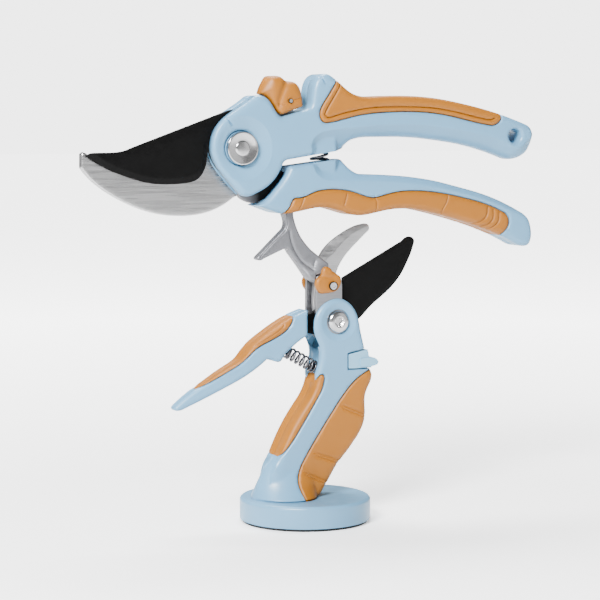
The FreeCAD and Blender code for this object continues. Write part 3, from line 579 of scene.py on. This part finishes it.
BLUE = moulded("blue_body", (0.115, 0.270, 0.420), 0.34)
PALE = moulded("pale_blue", (0.17, 0.37, 0.52), 0.20, grain=0.5, depth=0.006, specular=0.6)
ORANGE = moulded("soft_grip", (0.275, 0.094, 0.002), 0.48, grain=0.30, depth=0.045, specular=0.4)
BLACK = coated()
HOOK_STEEL = brushed("brushed_hook", (0.47, 0.47, 0.475), 0.26, turn=math.radians(12), depth=0.02, tone=0.28)
COUNTER_STEEL = brushed("brushed_counter_blade", (0.45, 0.45, 0.46), 0.34, turn=math.radians(-48), tone=0.25)
PLATE_STEEL = brushed("brushed_plate", (0.27, 0.273, 0.29), 0.38, turn=math.radians(90), tone=0.2)
CAST = blasted("cast_grey", (0.16, 0.163, 0.177), 0.40, 0.6)
MAIN_TURNED = turned_steel("turned_main_pivot", MAIN_PIVOT)
STAND_TURNED = turned_steel("turned_stand_pivot", STAND_PIVOT)
BRIGHT = blasted("bright_steel", (0.60, 0.60, 0.61), 0.26, 1.0, grain=0.2, depth=0.006)
CLAMP_HEAD = screw_head("clamp_screw_head", "clamp_screw", 1.62)
PIN_HEAD = screw_head("latch_pin_head", "latch_pin", 0.82)
SPRING = blasted("spring_steel", (0.11, 0.11, 0.12), 0.30, 1.0, grain=0.2, depth=0.004)
INNER = blasted("inner_steel", (0.16, 0.16, 0.17), 0.42, 1.0, grain=0.3, depth=0.01)
RUBBER = moulded("black_rubber", (0.020, 0.021, 0.023), 0.70, grain=0.4, depth=0.05, specular=0.3)


# ---- handles of the large shears ----

FLAT = 7.75                    # where a handle's flat faces stand from y = 0
HANDLE_RIM = 2.7
SEAM_Y = -6.35                 # a depth where both a handle and its grip are cut, clear of every pocket
PROUD = 0.2                    # how far the soft grips bulge above the plastic
MAIN_DISH_R = 13.9
SPRING_MID = (40.0, -5.3)      # where the main spring's axis crosses the gap between the handles
SEAM_POINTS = (0.0, 0.16, 0.42)
FINE_POINTS = (0.0, 0.2, 0.45)


def from_pivot(pivot, *points):
    """A path of straight runs through points given from a pivot."""
    return spaced(np.array(points, float), 0.4) + pivot


def seam_depth(points, seams):
    return groove(points, seams, 0.48, 1.5)


def spring_wall(points):
    """The least height beside the main spring, so that its pocket stays covered."""
    off = np.abs(points[:, 0] - MAIN_PIVOT[0] - SPRING_MID[0])
    return 5.5 - 1.3 * past(off - 5.4, 0.4)


def pillow(points, loops, seams):
    """Bulge of the soft grips inside their loops."""
    within = np.zeros(len(points), bool)
    for loop in loops:
        within |= inside(points, loop)
    gap = np.min([measure(points, seam)[0] for seam in seams], axis=0)
    return np.where(within, PROUD * ease(0.3, 2.2, gap), 0)


def dish(points, pivot, radius, floor_radius, depth):
    """A shallow conical recess round a pivot, with a crisp lip."""
    away = np.hypot(*(points - pivot).T)
    return depth * np.clip((radius - away) / (radius - floor_radius), 0, 1)


def build_upper_handle():
    loop, seams = shared_outline("upper_handle_front", ["upper_grip"], SEAM_Y)
    grip = section("upper_grip", SEAM_Y)[0]
    crease = curve(MAIN_PIVOT, (33.2, -6.5), (32.8, -1.3), (32.4, 1.2), (34.0, 4.4), (38.2, 6.9), (45.4, 8.1),
                   (53.8, 8.7), (65.1, 9.6), (76.2, 9.9), (89.0, 9.6), (102.0, 7.9), (115.1, 5.8),
                   (125.1, 3.5), (131.2, 1.1), (135.2, -0.6), (138.6, -0.2), (141.5, 2.8), (146.5, 6.5))
    inlay = curve(MAIN_PIVOT, (46.8, 27.4), (45.0, 24.6), (39.4, 15.6), (39.6, 13.7), (41.4, 13.1),
                  (48.2, 14.9), (59.4, 17.0), (70.7, 17.7), (88.9, 17.5), (101.9, 15.9), (115.1, 13.1),
                  (121.7, 12.0), (124.4, 12.8))
    boss_mark = from_pivot(MAIN_PIVOT, (-7.8, 13.4), (-4.9, 10.4))
    shoulder_mark = from_pivot(MAIN_PIVOT, (36.8, 31.6), (39.0, 28.2))
    hole = circle(MAIN_PIVOT + (135.2, 4.7), 3.4)
    dish_lip = circle(MAIN_PIVOT, MAIN_DISH_R)
    head_gap = circle(MAIN_PIVOT, 7.45)

    def face(points, edge):
        gap, side = measure(points, crease)
        height = FLAT - fall(edge, HANDLE_RIM, 2.3) - 0.70 * past(-side * gap)
        height = np.maximum(height, spring_wall(points))
        height = height + pillow(points, [grip], seams) - seam_depth(points, seams)
        height -= groove(points, [inlay], 0.5, 0.9)
        away = np.hypot(*(points - MAIN_PIVOT - (135.2, 4.7)).T) - 3.4
        return height - fall(np.maximum(away, 0), 1.4, 1.2)

    def front(points, edge):
        height = face(points, edge) - dish(points, MAIN_PIVOT, MAIN_DISH_R, 8.6, 1.6)
        height -= groove(points, [head_gap], 0.5, 2.0)
        return height - groove(points, [boss_mark, shoulder_mark], 0.5, 0.9)

    def back(points, edge):
        return face(points, edge) - dish(points, MAIN_PIVOT, MAIN_DISH_R, 9.4, 1.0)

    lines = [(seam, SEAM_POINTS) for seam in seams]
    lines += [(crease, FINE_POINTS), (inlay, FINE_POINTS), (boss_mark, FINE_POINTS),
              (shoulder_mark, FINE_POINTS)]
    lines += [(hole, (0.05, 0.3, 0.8, 1.4)), (dish_lip, (0.0, 0.3)), (head_gap, SEAM_POINTS)]
    block = raised("upper_block", loop, front, back, HANDLE_RIM, lines, parting=0.12)
    form(block, upper_handle_front=(BLUE, "blue_body"), upper_handle_back=(BLUE, "blue_body"),
         upper_grip=(ORANGE, "soft_grip"))


def build_lower_handle():
    loop, seams = shared_outline("lower_handle_front", ["lower_grip"], SEAM_Y)
    grip = section("lower_grip", SEAM_Y)[0]
    ridge = curve(MAIN_PIVOT, (33.0, -4.0), (33.9, -9.1), (36.0, -12.2), (41.3, -14.2), (55.8, -14.8),
                  (70.5, -15.2), (85.4, -16.7), (100.5, -19.2), (121.0, -24.4), (134.6, -29.6),
                  (147.0, -35.0))
    finger_marks = [
        curve(MAIN_PIVOT, (29.2, -20.6), (28.4, -23.4), (26.1, -27.9), (25.4, -30.0)),
        curve(MAIN_PIVOT, (49.7, -20.6), (49.2, -23.0), (48.4, -25.3)),
        curve(MAIN_PIVOT, (63.4, -21.4), (64.6, -24.7), (64.0, -28.4), (63.7, -31.0)),
        curve(MAIN_PIVOT, (100.6, -21.2), (99.6, -25.0), (97.8, -27.8), (96.6, -31.5)),
    ]
    end_ribs = [
        curve(MAIN_PIVOT, (121.0, -27.8), (120.3, -31.6), (116.6, -34.2), (111.8, -34.9)),
        curve(MAIN_PIVOT, (124.0, -29.0), (123.8, -32.8), (120.8, -35.5), (114.9, -36.3)),
        curve(MAIN_PIVOT, (127.1, -30.2), (126.5, -34.2), (122.9, -36.9), (117.5, -37.4)),
    ]

    def face(points, edge):
        gap, side = measure(points, ridge)
        height = FLAT - fall(edge, HANDLE_RIM, 2.5) - 0.66 * past(side * gap)
        height = np.maximum(height, spring_wall(points))
        height = height + pillow(points, [grip], seams) - seam_depth(points, seams)
        return height - groove(points, finger_marks, 0.42, 0.42) - groove(points, end_ribs, 0.75, 0.7)

    lines = [(seam, SEAM_POINTS) for seam in seams] + [(ridge, FINE_POINTS)]
    lines += [(mark, FINE_POINTS) for mark in finger_marks] + [(rib, (0.0, 0.3, 0.7)) for rib in end_ribs]
    block = raised("lower_block", loop, face, face, HANDLE_RIM, lines, parting=0.12)
    form(block, lower_handle_front=(BLUE, "blue_body"), lower_handle_back=(BLUE, "blue_body"),
         lower_grip=(ORANGE, "soft_grip"))


LATCH_END = 9.9                # the latch's left end, from the main pivot


def build_latch():
    """Thumb latch: a domed saddle with a valley between its two humps, rounded in plan to its left end."""
    loop = section("latch", -5.0)[0]
    local = loop - MAIN_PIVOT
    drawn_in = 2.5 * ease(16.0, 8.5, local[:, 0]) * ease(23.2, 24.4, local[:, 1])
    loop[:, 0] = MAIN_PIVOT[0] + np.maximum(local[:, 0] + drawn_in, LATCH_END)
    loop = even_loop(loop)
    valley = curve(MAIN_PIVOT, (22.8, 32.0), (21.6, 28.6), (19.8, 25.0), (18.4, 21.4), (17.8, 18.0))
    marks = [from_pivot(MAIN_PIVOT, (24.7, 20.7), (25.9, 21.0)),
             from_pivot(MAIN_PIVOT, (26.5, 21.2), (27.7, 21.6)),
             from_pivot(MAIN_PIVOT, (17.9, 18.7), (19.0, 18.5)),
             from_pivot(MAIN_PIVOT, (19.6, 18.5), (20.3, 18.5))]

    def face(points, edge):
        local = points - MAIN_PIVOT
        top = ease(18.0, 27.0, local[:, 1])
        height = 7.0 - fall(edge, 3.4, 1.0) - fall(edge, 1.2, 0.8) - top * fall(edge, 6.0, 2.2)
        height -= groove(points, [valley], 2.6, 1.0) + groove(points, marks, 0.34, 0.45)
        return np.maximum(height - 1.4 * ease(16.0, 10.0, local[:, 0]), 0.6)

    def back(points, edge):
        return np.maximum(face(points, edge) - 2.6 * ease(18.0, 12.0, (points - MAIN_PIVOT)[:, 0]), 0.2)

    lines = [(valley, (0.0, 0.8, 1.6, 2.4))] + [(mark, FINE_POINTS) for mark in marks]
    block = raised("latch_block", loop, face, back, 3.4, lines)
    form(block, latch=(ORANGE, "soft_grip"))


build_upper_handle()
build_lower_handle()
build_latch()


# ---- blades, arm and clamp: plates between two depths ----

def plate(node, look, y0, y1, rim, cut=None, lines=(), angle=30):
    """A formed plate between y0 and y1. cut gives how far its front face falls back at each point."""
    loop = even_loop(section(node, (y0 + y1) / 2)[0], step=0.5)
    drop = 0.8 * rim

    def front(points, edge):
        fallen = fall(edge, rim, drop)
        if cut:
            fallen = np.maximum(fallen, cut(points, edge))
        return -(y0 + INSET) - np.minimum(fallen, y1 - y0 - 0.25)

    def back(points, edge):
        return (y1 - INSET) - fall(edge, rim, min(drop, 0.2))

    solid = raised(f"{node}_plate", loop, front, back, rim, lines)
    obj = common(f"{node}_formed", node, solid)
    bpy.data.objects.remove(solid)
    finish_mesh(obj, look, angle)
    stand_for(obj, node)


def beyond(points, path, way):
    """How far each point is past a path, on its left (way 1) or right (way -1)."""
    gap, side = measure(points, path)
    return past(way * side * gap, 0.12)


def build_blades():
    spine = curve(MAIN_PIVOT, (-72.0, -4.6), (-66.0, -4.2), (-57.0, -4.4), (-48.6, -2.9), (-27.0, 4.4),
                  (-5.0, 12.4), (6.0, 16.4))
    grind = curve(MAIN_PIVOT, (-66.0, -1.0), (-58.6, -5.9), (-48.7, -9.8), (-40.7, -12.0), (-32.4, -12.7),
                  (-24.4, -12.2), (-19.8, -10.8), (-17.4, -8.0), (-15.8, -3.2))

    def blade_cut(points, edge):
        local = points - MAIN_PIVOT
        ahead = ease(-8.0, -13.0, local[:, 0])
        top = 0.10 * beyond(points, spine, 1)
        low = 0.42 * beyond(points, grind, -1) * ease(-13.6, -15.4, local[:, 0])
        return (top + low) * np.maximum(ahead, 0.02)

    plate("cutting_blade", BLACK, -2.6, -0.1, rim=0.4, cut=blade_cut,
          lines=[(spine, (0.0, 0.3)), (grind, (0.0, 0.3, 0.8))], angle=26)

    plate("hook_blade", HOOK_STEEL, 0.1, 3.6, rim=0.55, angle=26)

    ridge = curve(STAND_PIVOT, (-6.2, 22.0), (-2.9, 26.9), (0.7, 29.9), (6.1, 35.2), (12.1, 39.4),
                  (19.5, 42.0))

    def counter_cut(points, edge):
        return 0.30 * beyond(points, ridge, 1)

    plate("counter_blade", COUNTER_STEEL, 0.1, 2.9, rim=0.45, cut=counter_cut,
          lines=[(ridge, (0.0, 0.25, 0.6))], angle=24)

    back_edge = from_pivot(STAND_PIVOT, (2.0, 16.5), (35.4, 33.8), (38.0, 35.0), (42.0, 35.0))
    hollow = curve(STAND_PIVOT, (41.0, 33.0), (36.4, 28.0), (32.4, 21.4), (28.4, 16.6), (22.8, 11.8),
                   (16.8, 7.0), (12.0, 2.6))

    def stand_cut(points, edge):
        return 0.55 * beyond(points, back_edge, 1) + 0.16 * beyond(points, hollow, 1)

    plate("stand_cutting_blade", BLACK, -2.6, -0.4, rim=0.35, cut=stand_cut,
          lines=[(back_edge, (0.0, 0.25, 0.6)), (hollow, (0.0, 0.3))], angle=24)


def build_arm():
    """Forked cradle arm, its channel, and the ear under the clamp."""
    channel = curve(STAND_PIVOT, (-21.4, 40.2), (-21.0, 37.4), (-19.8, 33.6), (-17.6, 29.6), (-15.0, 26.4),
                    (-11.2, 23.4))
    rib = curve(STAND_PIVOT, (-35.4, 29.6), (-29.6, 35.2), (-24.4, 39.6), (-22.6, 42.8), (-22.7, 47.0),
                (-22.8, 60.0))
    hook_mark = from_pivot(STAND_PIVOT, (-10.6, 25.2), (-9.9, 26.6))
    down_way = np.array((0.602, -0.799))

    def down(points):
        """How far points are down the arm from where it starts to thicken."""
        return (points - STAND_PIVOT - (-17.8, 26.0)) @ down_way

    def front(points, edge):
        height = 2.67 + 3.3 * ease(0.0, 9.5, down(points)) - fall(edge, 1.1, 0.8)
        height -= groove(points, [channel], 1.0, 0.6)
        return height - groove(points, [rib, hook_mark], 0.5, 0.3)

    def back(points, edge):
        return 2.27 - fall(edge, 1.1, 0.8)

    lines = [(channel, (0.0, 0.3, 0.6, 0.95)), (rib, FINE_POINTS), (hook_mark, FINE_POINTS)]
    solid = raised("arm_block", even_loop(section("cradle_arm", -1.5)[0]), front, back, 1.1, lines)
    form(solid, cradle_arm=(CAST, "cast_grey"))

    def ear_front(points, edge):
        return 4.37 - fall(edge, 0.8, 0.5)

    def ear_back(points, edge):
        return np.full(len(points), -2.93)

    ear_loop = section("cradle_arm", -3.7)[0]
    ear_loop = ear_loop + np.maximum(5.0 - down(ear_loop), 0)[:, None] * down_way
    solid = raised("ear_block", even_loop(ear_loop), ear_front, ear_back, 0.8)
    ear = common("cradle_arm_ear", "cradle_arm", solid)
    bpy.data.objects.remove(solid)
    finish_mesh(ear, CAST)
    stand_for(ear, "cradle_arm")


def build_clamp():
    crease = curve(STAND_PIVOT, (-9.8, 21.6), (-7.2, 20.4), (-4.6, 19.6), (-2.2, 20.4), (-0.4, 21.6))
    for node, near in (("clamp_front", -1), ("clamp_back", 1)):
        loop = even_loop(section(node, near * 7.2)[0], step=0.4)

        def outer(points, edge):
            return 8.27 - fall(edge, 1.7, 1.1) - groove(points, [crease], 1.2, 0.35)

        def inner(points, edge):
            return np.full(len(points), -6.08)

        faces = (outer, inner) if near < 0 else (inner, outer)
        solid = raised(f"{node}_block", loop, *faces, rim=1.7, lines=[(crease, (0.0, 0.4, 0.9))])
        form(solid, **{node: (ORANGE, "soft_grip")})
    for node, y0, y1 in (("side_plate_front", -6.0, -4.4), ("side_plate_back", 4.4, 6.0)):
        plate(node, PLATE_STEEL, y0, y1, rim=0.35)


# ---- stand handle, lever, lock and foot ----

FOOT_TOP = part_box("foot_shell")[1].z / MM
COLLAR = (-9.3, 16.0, 13.4, 16.6)  # where the handle meets the foot: centre x, reach to -x, to +x and along y
FLARE_TOP = (-1.2, 14.0, 11.0, 7.6)
FLARE_POWERS = (0.7, 0.7, 2.4, 2.4)
FLARE_HEIGHT = 20.0
STAND_DISH_R = 8.5


def flare(points):
    """Of the flare at each point's height: its centre, its reach towards the point, its half-width along y,
    and how far down it is, from 0 at its top to 1 at the foot."""
    share = np.clip(1 - (points[:, 1] - FOOT_TOP) / FLARE_HEIGHT, 0, 1)
    x, left, right, across = (top + (low - top) * share ** power
                              for top, low, power in zip(FLARE_TOP, COLLAR, FLARE_POWERS))
    return x, np.where(points[:, 0] < x, left, right), across, share


def stand_outline():
    """Outline of the fixed handle: the lock's notch filled, the flare's left edge let out to full width."""
    loop, seams = shared_outline("stand_handle_front", ["stand_grip_left", "stand_grip_right"], SEAM_Y)
    local = loop - STAND_PIVOT
    notch = (local[:, 0] > 3.7) & (local[:, 1] > -21.8) & (local[:, 1] < -11.4)
    loop = loop[~notch]
    x, along, _, share = flare(loop)
    outwards = np.where(loop[:, 0] < x, np.maximum(loop[:, 0] - x + along, 0), 0)
    loop[:, 0] -= outwards * ease(0.08, 0.30, share)
    loop[:, 1] = np.maximum(loop[:, 1], FOOT_TOP)
    return even_loop(loop), seams


def build_stand_handle():
    loop, seams = stand_outline()
    grips = [section(node, SEAM_Y)[0] for node in ("stand_grip_left", "stand_grip_right")]
    foot_seam = spaced(np.array(((-30.0, FOOT_TOP + 0.25), (12.0, FOOT_TOP + 0.25))), 0.45)
    head_gap = circle(STAND_PIVOT, 5.1)
    marks = []
    for x0, z0, x1, z1 in ((1.4, -37.2, 15.0, -42.9), (-12.2, -57.4, 6.0, -64.4), (-17.8, -65.2, 1.0, -74.6)):
        marks.append(curve(STAND_PIVOT, (x0, z0), ((x0 + x1) / 2, (z0 + z1) / 2 + 0.35), (x1, z1)))
        marks.append(curve(STAND_PIVOT, (x0 + 0.9, z0 - 1.5), ((x0 + x1) / 2, (z0 + z1) / 2 - 1.0),
                           (x1, z1 - 1.2)))

    def face(points, edge):
        x, along, across, share = flare(points)
        middle = ease(0.5, -3.5, points[:, 0] - x)
        near_foot = ease(0.05, 0.75, share)
        radius = HANDLE_RIM + 5.5 * middle * near_foot
        drop = 2.3 + 5.0 * middle * near_foot
        handle = FLAT - drop * fall(edge, radius, 1.0)
        round_part = across * np.sqrt(np.clip(1 - ((points[:, 0] - x) / along) ** 2, 0, 1)) - 0.12
        round_part = np.where(share > 0, round_part, 0.0)
        handle = (handle + round_part + np.sqrt((handle - round_part) ** 2 + 0.25)) / 2 - 0.06
        handle = handle + pillow(points, grips, seams) * (1 - near_foot)
        handle -= groove(points, [foot_seam], 0.5, 1.8)
        return handle - seam_depth(points, seams) - groove(points, marks, 0.5, 0.45)

    def front(points, edge):
        height = face(points, edge) - dish(points, STAND_PIVOT, STAND_DISH_R, 5.4, 1.1)
        return height - groove(points, [head_gap], 0.45, 2.0)

    lines = [(seam, SEAM_POINTS) for seam in seams] + [(mark, (0.0, 0.22, 0.45)) for mark in marks]
    lines += [(circle(STAND_PIVOT, STAND_DISH_R), (0.0, 0.3)), (head_gap, SEAM_POINTS),
              (foot_seam, SEAM_POINTS)]
    block = raised("stand_block", loop, front, face, HANDLE_RIM, lines, parting=0.12)
    form(block, stand_handle_front=(BLUE, "blue_body"), stand_handle_back=(BLUE, "blue_body"),
         stand_grip_left=(ORANGE, "soft_grip"), stand_grip_right=(ORANGE, "soft_grip"))


def build_lever():
    loop, seams = shared_outline("lever_front", ["lever_grip"], -5.45)
    grip = section("lever_grip", -5.45)[0]
    inlay = curve(STAND_PIVOT, (-27.5, 2.0), (-26.0, 0.6), (-26.2, -1.4), (-30.7, -4.4), (-40.2, -9.6),
                  (-44.2, -13.4))

    def face(points, edge):
        thin = 2.6 * ease(-40.0, -76.0, (points - STAND_PIVOT)[:, 0])
        height = 5.97 - thin - fall(edge, 2.2, 1.7) + 0.8 * pillow(points, [grip], seams)
        return height - seam_depth(points, seams) - groove(points, [inlay], 0.45, 0.45)

    lines = [(seam, SEAM_POINTS) for seam in seams] + [(inlay, FINE_POINTS)]
    block = raised("lever_block", loop, face, face, 2.2, lines, parting=0.1)
    form(block, lever_front=(BLUE, "blue_body"), lever_back=(BLUE, "blue_body"),
         lever_grip=(ORANGE, "soft_grip"))


build_blades()
build_arm()
build_clamp()
build_stand_handle()
build_lever()


# ---- springs and turned parts ----

def sweep(name, centres, radius, look, sides=14):
    """A round wire through centres (vectors in millimetres), closed at both ends."""
    verts, faces = [], []
    count = len(centres)
    side = Vector((0, 1, 0))
    for i, centre in enumerate(centres):
        way = (centres[min(i + 1, count - 1)] - centres[max(i - 1, 0)]).normalized()
        side = (side - way * side.dot(way)).normalized()
        up = way.cross(side)
        blunt = radius * (0.55 if i in (0, count - 1) else 1.0)
        for k in range(sides):
            turn = 2 * math.pi * k / sides
            verts.append(centre + blunt * (math.cos(turn) * side + math.sin(turn) * up))
    for i in range(count - 1):
        for k in range(sides):
            a, b = i * sides + k, i * sides + (k + 1) % sides
            faces.append((a, b, b + sides, a + sides))
    faces.append(tuple(range(sides)))
    faces.append(tuple((count - 1) * sides + k for k in reversed(range(sides))))
    obj = shape(name, verts, faces)
    finish_mesh(obj, look, 60)
    return obj


def helix(start, end, radius, turns, per_turn=26, closed_turns=0.9):
    """Centres of a coil spring whose end turns lie almost flat."""
    axis = end - start
    side = axis.cross(Vector((0, 1, 0))).normalized()
    up = axis.normalized().cross(side)
    out = []
    steps = round(turns * per_turn)
    for i in range(steps + 1):
        turn = turns * i / steps
        started = past(np.array([turn - closed_turns]))[0]
        ended = past(np.array([turn - turns + closed_turns]))[0]
        rise = started - ended
        share = min(1.0, max(0.0, 0.06 + 0.88 * rise / (turns - 2 * closed_turns)))
        angle = 2 * math.pi * turn
        out.append(start + axis * share + radius * (math.cos(angle) * side + math.sin(angle) * up))
    return out


SPRING_LEAN = math.radians(8)
MAIN_SPRING = (3.7, 0.65)      # coil radius and wire radius
SMALL_SPRING = (2.5, 0.5)
SMALL_ENDS = ((-23.4, -12.1), (-7.4, -21.0))


def build_springs():
    middle = MAIN_PIVOT + SPRING_MID
    way = Vector((-math.sin(SPRING_LEAN), 0, math.cos(SPRING_LEAN)))
    start = Vector((middle[0], 0, middle[1])) + way * (-8.6)
    end = Vector((middle[0], 0, middle[1])) + way * 7.8
    spring = sweep("main_spring_coil", helix(start, end, MAIN_SPRING[0], 7), MAIN_SPRING[1], SPRING)
    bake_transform(spring)
    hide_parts("main_spring")
    (x0, z0), (x1, z1) = (STAND_PIVOT + p for p in SMALL_ENDS)
    start, end = Vector((x0, 0, z0)), Vector((x1, 0, z1))
    way = (end - start).normalized()
    start, end = start + way * 0.5, end - way * 0.5
    spring = sweep("stand_spring_coil", helix(start, end, SMALL_SPRING[0], 8), SMALL_SPRING[1], SPRING)
    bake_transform(spring)
    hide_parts("stand_spring")


def lathe(name, pivot, profile, sides=96):
    """A solid turned about the line through a pivot along Y. Its (radius, y) points start and end on it."""
    verts, faces = [], []
    for radius, y in profile[1:-1]:
        for k in range(sides):
            turn = 2 * math.pi * k / sides
            verts.append((pivot[0] + radius * math.cos(turn), y, pivot[1] + radius * math.sin(turn)))
    for i in range(len(profile) - 3):
        for k in range(sides):
            a, b = i * sides + k, i * sides + (k + 1) % sides
            faces.append((a, b, b + sides, a + sides))
    first, last = len(verts), len(verts) + 1
    verts += [(pivot[0], profile[0][1], pivot[1]), (pivot[0], profile[-1][1], pivot[1])]
    top = (len(profile) - 3) * sides
    for k in range(sides):
        faces.append((first, (k + 1) % sides, k))
        faces.append((last, top + k, top + (k + 1) % sides))
    return shape(name, verts, faces)


def build_pivots():
    """Main bolt with a dished head and a raised button, and the stand's star-socket screw."""
    dished = [(0, -8.14), (2.6, -8.14), (3.0, -8.02), (3.17, -7.84), (3.35, -7.63), (3.9, -7.66),
              (4.8, -7.85), (5.7, -8.10), (6.2, -8.27), (6.6, -8.36), (6.9, -8.33), (7.08, -8.2),
              (7.16, -8.0), (7.16, -6.45), (3.95, -6.42), (3.95, 8.3), (3.6, 8.56), (0, 8.56)]
    bolt = lathe("pivot_bolt_turned", MAIN_PIVOT, dished)
    finish_mesh(bolt, MAIN_TURNED, 32)
    stand_for(bolt, "pivot_bolt")
    head = [(0, -8.47), (2.6, -8.47), (3.4, -8.38), (4.1, -8.15), (4.6, -7.8), (4.84, -7.4), (4.86, -6.05),
            (2.96, -5.95), (2.96, 8.3), (2.7, 8.57), (0, 8.57)]
    solid = lathe("stand_pivot_solid", STAND_PIVOT, head)
    form(solid, stand_pivot_screw=(STAND_TURNED, "bright_steel"))


build_springs()
build_pivots()


# ---- CAD nodes that keep their shape ----

KEPT = {
    "latch_pin": PIN_HEAD, "pivot_washer": BRIGHT, "pivot_nut": BRIGHT, "upper_handle_screws": INNER,
    "lower_handle_screws": INNER, "stand_handle_screws": INNER, "spring_stud_upper": SPRING,
    "spring_stud_lower": SPRING, "spring_stud_lever": SPRING, "spring_stud_stand": SPRING,
    "stand_pivot_nut": BRIGHT, "stand_pivot_spacers": INNER, "clamp_screw": CLAMP_HEAD, "clamp_nut": BRIGHT,
    "clamp_spacer": INNER, "lever_rivets": BRIGHT, "lock_bolt": PALE, "foot_shell": BLUE,
    "foot_weight": INNER, "foot_plate": INNER, "foot_pad": RUBBER, "foot_screws": INNER,
}


def dress_kept():
    for name, look in KEPT.items():
        node = frame["nodes"][name]
        node.data.materials.clear()
        node.data.materials.append(look.made)


dress_kept()


# ---- stage ----

SEEN_WHITE = 4.2               # brightness of the backdrop as the camera sees it


def matt(name, colour):
    look = Look(name, colour, 0.9, specular=0.1)
    look.tint(look.noise(60, 2), 0.995, 1.0)
    look.shader.inputs["Emission Color"].default_value = (1, 1, 1, 1)
    away = look.node("ShaderNodeVectorMath", {0: look.place}, operation="LENGTH").outputs["Value"]
    seen = look.spread(away, 0.7, SEEN_WHITE, 0.15, 0.9)
    given = look.spread(away, 0.0, 0.25, 0.3, 1.1)
    ray = look.node("ShaderNodeLightPath").outputs["Is Camera Ray"]
    mix = look.node("ShaderNodeMix", {"Factor": ray, "A": given, "B": seen})
    look.tree.links.new(mix.outputs["Result"], look.shader.inputs["Emission Strength"])
    return look


def build_stage():
    wide = 8000.0
    corners = [(-wide, -wide, 0), (wide, -wide, 0), (wide, wide, 0), (-wide, wide, 0)]
    floor = shape("floor", corners, [(0, 1, 2, 3)])
    floor.data.materials.append(matt("floor", (0.93, 0.93, 0.93)).made)


def softbox(name, place, aim, size, power):
    light = bpy.data.lights.new(name, "AREA")
    light.shape = "RECTANGLE"
    light.size, light.size_y = size
    light.energy = power
    lamp = bpy.data.objects.new(name, light)
    lamp.location = place
    lamp.rotation_euler = (Vector(aim) - Vector(place)).to_track_quat("-Z", "Y").to_euler()
    bpy.context.scene.collection.objects.link(lamp)


def build_world():
    """Plain white surroundings as the camera sees them, and a dimmer soft light from them on the shears."""
    world = bpy.data.worlds.new("studio")
    world.use_nodes = True
    tree = world.node_tree
    place = tree.nodes.new("ShaderNodeTexCoord").outputs["Generated"]
    split = tree.nodes.new("ShaderNodeSeparateXYZ")
    tree.links.new(place, split.inputs["Vector"])
    fade = tree.nodes.new("ShaderNodeMapRange")
    tree.links.new(split.outputs["Z"], fade.inputs["Value"])
    for key, value in {"From Min": 0.0, "From Max": 0.7, "To Min": 0.5, "To Max": 0.22}.items():
        fade.inputs[key].default_value = value
    mix = tree.nodes.new("ShaderNodeMix")
    tree.links.new(tree.nodes.new("ShaderNodeLightPath").outputs["Is Camera Ray"], mix.inputs["Factor"])
    tree.links.new(fade.outputs[0], mix.inputs["A"])
    mix.inputs["B"].default_value = SEEN_WHITE
    background = tree.nodes["Background"]
    background.inputs["Color"].default_value = (1.0, 1.0, 1.0, 1)
    tree.links.new(mix.outputs["Result"], background.inputs["Strength"])
    bpy.context.scene.world = world


def build_lights():
    middle = (0, 0, 0.11)
    softbox("key", (-0.85, -0.75, 0.85), middle, (0.45, 0.45), 62)
    softbox("fill", (0.9, -0.9, 0.5), middle, (0.9, 0.9), 2)
    softbox("top", (0.1, 0.45, 1.15), middle, (0.8, 0.4), 30)


def build_camera():
    camera = bpy.data.cameras.new("camera")
    camera.lens = 122.727
    camera.sensor_width = 36.0
    camera.clip_end = 20
    obj = bpy.data.objects.new("camera", camera)
    obj.location = (-0.38124, -0.81232, 0.17967)
    aim = Vector((-0.00245, 0.0, 0.09810))
    obj.rotation_euler = (aim - obj.location).to_track_quat("-Z", "Y").to_euler()
    bpy.context.scene.collection.objects.link(obj)
    bpy.context.scene.camera = obj


build_stage()
build_world()
build_lights()
build_camera()
